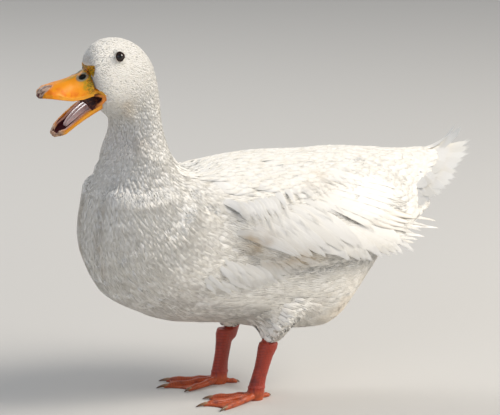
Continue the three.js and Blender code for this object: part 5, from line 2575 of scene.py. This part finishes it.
@dataclass
class Leg:
    """One bare leg with its webbed foot and its claws.

    Attributes:
        name: Left or right.
        side: Minus one for the left and one for the right.
        ankle: The ankle's place along the body and out to the side, in mm.
        toes: For each toe how far outwards it points, in degrees, and its reach, in mm.
        scute: Height of the plates down the front, in mm.
        bead: Width of the small scales, in mm.
        claw_cuts: How many rings of corners a claw has, and how many corners to a ring.
        cell: Side of the cells that it is sculpted in.
    """

    name: str
    side: int
    ankle: tuple[float, float]
    toes: tuple = ((-24, 63), (4, 80), (30, 73), (200, 24))
    scute: float = 3.6
    bead: float = 2.8
    claw_cuts: tuple[int, int] = (9, 12)
    cell: float = 0.75 * MM

    def build(self, finish: Material) -> Object:
        """Sculpts the leg in one piece from inside the thigh down to the webs.

        Args:
            finish: The leg's material.

        Returns:
            The piece, with the finish's masks stored on it.
        """
        shank, foot = node_surface(f"shank_{self.name}"), node_surface(f"foot_{self.name}")
        points = np.concatenate([shank[0], foot[0]])
        low, high = points.min(0) - 4 * MM, points.max(0) + (4 * MM, 4 * MM, 24 * MM)
        clay = Clay.between(low, high, self.cell)
        place = clay.places() / MM
        value = clay.distance_to(*shank) / MM
        value = round_over(value, clay.distance_to(*foot) / MM, 2.5)
        value = round_over(value, self.stump(place), 3.0)
        for turn, reach in self.toes:
            along, across = self.on_toe(place, turn)
            cut = np.minimum(along - 0.87 * reach, 5.0 - np.abs(across))
            value = np.maximum(value, np.minimum(cut, 9.0 - place[..., 2]))
        relief, _ = self.scales(place)
        made = clay.fired(f"leg_{self.name}", value + relief, 1, finish)
        place = vertex_places(made.data) / MM
        _, groove = self.scales(place)
        store_masks(made, {"groove": groove, "web": smoothstep(14 - place[:, 2], 0.0, 8.0)})
        return made

    def stump(self, place: Array) -> Array:
        """Returns the distance to the part of the leg that is inside the thigh, in mm.

        Args:
            place: The places, in mm.

        Returns:
            The distance, negative inside it.
        """
        low = np.array([self.ankle[0] + 13.5, self.ankle[1], 60])
        way = np.array([8.0, 0, 24.0])
        share = np.clip((place - low) @ way / (way @ way), 0, 1)
        return np.linalg.norm(place - low - share[..., None] * way, axis=-1) - 8.5

    def on_toe(self, place: Array, turn: float) -> tuple[Array, Array]:
        """Returns how far places lie along a toe and beside it, in mm.

        Args:
            place: The places, in mm.
            turn: How far outwards the toe points, in degrees.

        Returns:
            Both distances.
        """
        angle = math.radians(turn)
        ahead = np.array([-math.cos(angle), self.side * math.sin(angle)])
        flat = place[..., :2] - self.ankle
        return flat @ ahead, flat @ np.array([-ahead[1], ahead[0]])

    def scales(self, place: Array) -> tuple[Array, Array]:
        """Returns how deep the grooves between the scales are, in mm, and their mask.

        Args:
            place: The places, in mm.

        Returns:
            The depth and the mask.
        """
        height = place[..., 2]
        middle = self.ankle[0] + np.interp(height, (0, 26, 38, 50, 60, 66), (0, 3, 7, 10.5, 14, 15.5))
        ahead, aside = middle - place[..., 0], place[..., 1] - self.ankle[1]
        angle = np.arctan2(aside, ahead)
        front = smoothstep(1.0 - np.abs(angle), -0.1, 0.25)
        wave = height / self.scute + 0.08 * np.cos(3 * angle)
        plates = np.exp(-(((wave - np.round(wave)) / 0.13) ** 2))
        round_it = angle * 9.0
        beads = 0
        for turn in (0, 60, 120):
            way = math.radians(turn)
            beads = beads + np.cos(
                (round_it * math.sin(way) + height * math.cos(way)) * 2 * math.pi / self.bead
            )
        beads = np.clip(0.35 - beads / 3, 0, 1)
        shank = smoothstep(height, 14.0, 20.0)
        groove = lerp(beads, plates, front) * shank
        for turn, reach in self.toes:
            along, across = self.on_toe(place, turn)
            row = along / 3.0
            ring = np.exp(-(((row - np.round(row)) / 0.14) ** 2))
            on_top = smoothstep(4.2 - np.abs(across), 0.0, 1.2) * (along > 8) * (along < reach)
            groove = np.maximum(groove, ring * on_top * (1 - shank) * (height > 2.6))
        return 0.34 * groove, 0.55 * groove

    def claws(self, finish: Material) -> Object:
        """Makes the claws, each a curved cone.

        Args:
            finish: The claws' material.

        Returns:
            The piece.
        """
        points, faces, tips = [], [], []
        rings, sides = self.claw_cuts
        for turn, reach in self.toes:
            angle = math.radians(turn)
            ahead = np.array([-math.cos(angle), self.side * math.sin(angle), 0])
            beside = np.array([-ahead[1], ahead[0], 0])
            start = len(points)
            thick = 2.5 if reach > 30 else 1.9
            for ring in range(rings):
                share = ring / (rings - 1)
                radius = thick * (1 - share) ** 0.65 + 0.12
                middle = np.array([*self.ankle, 0]) + ahead * lerp(0.80, 1.0, share) * reach
                middle[2] = lerp(thick * 1.05, 0.75, share**1.6) + 0.7 * math.sin(share * math.pi)
                for step in range(sides):
                    around = 2 * math.pi * step / sides
                    out = beside * math.cos(around) * 0.85 + np.array([0, 0, math.sin(around)])
                    points.append(middle + out * radius)
                    tips.append(share)
            for ring in range(rings - 1):
                for step in range(sides):
                    a, b = start + ring * sides + step, start + ring * sides + (step + 1) % sides
                    faces.append((a, b, b + sides, a + sides))
            faces.append(tuple(start + step for step in reversed(range(sides))))
            faces.append(tuple(start + (rings - 1) * sides + step for step in range(sides)))
        points = np.maximum(np.array(points), (-1e9, -1e9, 0.05)) * MM
        made = make_object(f"claws_{self.name}", points, faces, finish)
        made.data.set_sharp_from_angle(angle=math.radians(60))
        store_masks(made, {"tip": np.array(tips)})
        return made


# ---------------------------------------------------------------- studio
@dataclass
class Studio:
    """A pale floor, soft lights and the camera.

    Attributes:
        target: The point that the camera looks at.
        azimuth: The camera's angle round the duck, from straight at its left side.
        elevation: The camera's angle above the horizon.
        distance: From the target to the camera.
        lens: Focal length in millimetres on a sensor 36 mm wide.
    """

    target: tuple[float, float, float] = (-0.0101, 0.0, 0.218)
    azimuth: float = math.radians(-25)
    elevation: float = math.radians(11)
    distance: float = 4.0
    lens: float = 247.7

    def build(self) -> None:
        """Makes the floor, the lights and the camera."""
        floor = make_object(
            "floor", [(-14, -14, 0), (14, -14, 0), (14, 14, 0), (-14, 14, 0)], [(0, 1, 2, 3)], None
        )
        paper, shader, _ = new_material("matt backdrop paper")
        feed(shader, {"Base Color": linear("#CFCDC9"), "Roughness": 0.9})
        floor.data.materials.append(paper)
        floor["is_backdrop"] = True
        self.lamp("key", (2.6, -1.7, 2.5), 2.0, 158, "#FFF8EE")
        self.lamp("fill", (-2.6, -2.2, 1.3), 2.2, 16, "#D6E4FF")
        self.lamp("rim", (-0.6, 2.6, 2.4), 1.4, 34, "#FFFFFF")
        world = bpy.data.worlds.new("studio")
        world.use_nodes = True
        feed(world.node_tree.nodes["Background"], {"Color": linear("#E4E8EE"), "Strength": 0.4})
        bpy.context.scene.world = world
        # The saturated orange of the bill fades under the default display transform.
        bpy.context.scene.view_settings.view_transform = "Standard"
        self.aim_camera()

    def lamp(self, name: str, place: tuple, size: float, power: float, colour: str) -> None:
        """Hangs a square soft light that faces the duck.

        Args:
            name: The light's name.
            place: Where it hangs.
            size: Its side.
            power: Its power in watts.
            colour: Its colour.
        """
        light = bpy.data.lights.new(name, "AREA")
        light.size = size
        light.energy = power
        light.color = linear(colour)[:3]
        made = bpy.data.objects.new(name, light)
        made.location = place
        towards = Vector(self.target) - Vector(place)
        made.rotation_euler = towards.to_track_quat("-Z", "Y").to_euler()
        bpy.context.scene.collection.objects.link(made)

    def aim_camera(self) -> None:
        """Sets the camera at its angle."""
        back = Vector(
            (
                math.sin(self.azimuth) * math.cos(self.elevation),
                -math.cos(self.azimuth) * math.cos(self.elevation),
                math.sin(self.elevation),
            )
        )
        camera = bpy.data.cameras.new("camera")
        camera.lens = self.lens
        camera.sensor_width = 36
        made = bpy.data.objects.new("camera", camera)
        made.location = Vector(self.target) + back * self.distance
        made.rotation_euler = (-back).to_track_quat("-Z", "Y").to_euler()
        bpy.context.scene.collection.objects.link(made)
        bpy.context.scene.camera = made


def main() -> None:
    """Builds the duck piece by piece, and the studio round it."""
    logging.basicConfig(level=logging.INFO, format="%(name)s: %(message)s")
    finish = Plumage().make()
    skin = Skin().build(CoatMap(), finish)
    tree = CoatNodes().tree
    for piece in COAT:
        finished(piece.build(skin, tree, finish), "plumage")
    skin_map = SkinMap(skin)
    for name, side in (("left", -1), ("right", 1)):
        finished(Wing(name, side).build(skin_map, finish), "plumage")
    finished(Tail().build(skin_map, finish), "plumage")
    finished(skin, "plumage", *FLESH)
    sheath = BillSheath().make()
    bill = Bill()
    finished(bill.upper(sheath), "bill", "upper_bill")
    finished(bill.lower(sheath), "bill", "lower_bill")
    # The lining's near-black deep colour is painted shade in the throat.
    lining = Membrane("moist lining of the mouth", "#E08A3A", "#3A0A0E", 0.75, 0.0)
    finished(bill.lining(lining.make()), "tongue")
    # The tongue's darker deep colour is painted shade at its root and in its groove.
    flesh = Membrane("wet tongue", "#E6C6BE", "#8C3A3C", 0.3, 0.7)
    finished(bill.tongue(flesh.make()), "tongue", "tongue")
    film = EyeFilm().make()
    rim = Membrane("bare skin of the eyelids", "#E6DFD2", "#33251C", 0.5, 0.2).make()
    for name, side in (("left", -1), ("right", 1)):
        eye = Eye(name, side)
        finished(eye.ball(film), "eye", f"eye_{name}")
        finished(eye.lids(rim), "bill")
    scales, horn = LegScales().make(), ClawHorn().make()
    for name, side, ankle in (("left", -1, (-22.9, -45.0)), ("right", 1, (-28.9, 45.0))):
        leg = Leg(name, side, ankle)
        finished(leg.build(scales), "leg", f"shank_{name}", f"foot_{name}")
        finished(leg.claws(horn), "leg")
    Studio().build()
    boxes = {"cad": CAD_BOX, "visual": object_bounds()}
    {name: [list(corner) for corner in box] for name, box in boxes.items()}


if __name__ == "__main__":
    main()
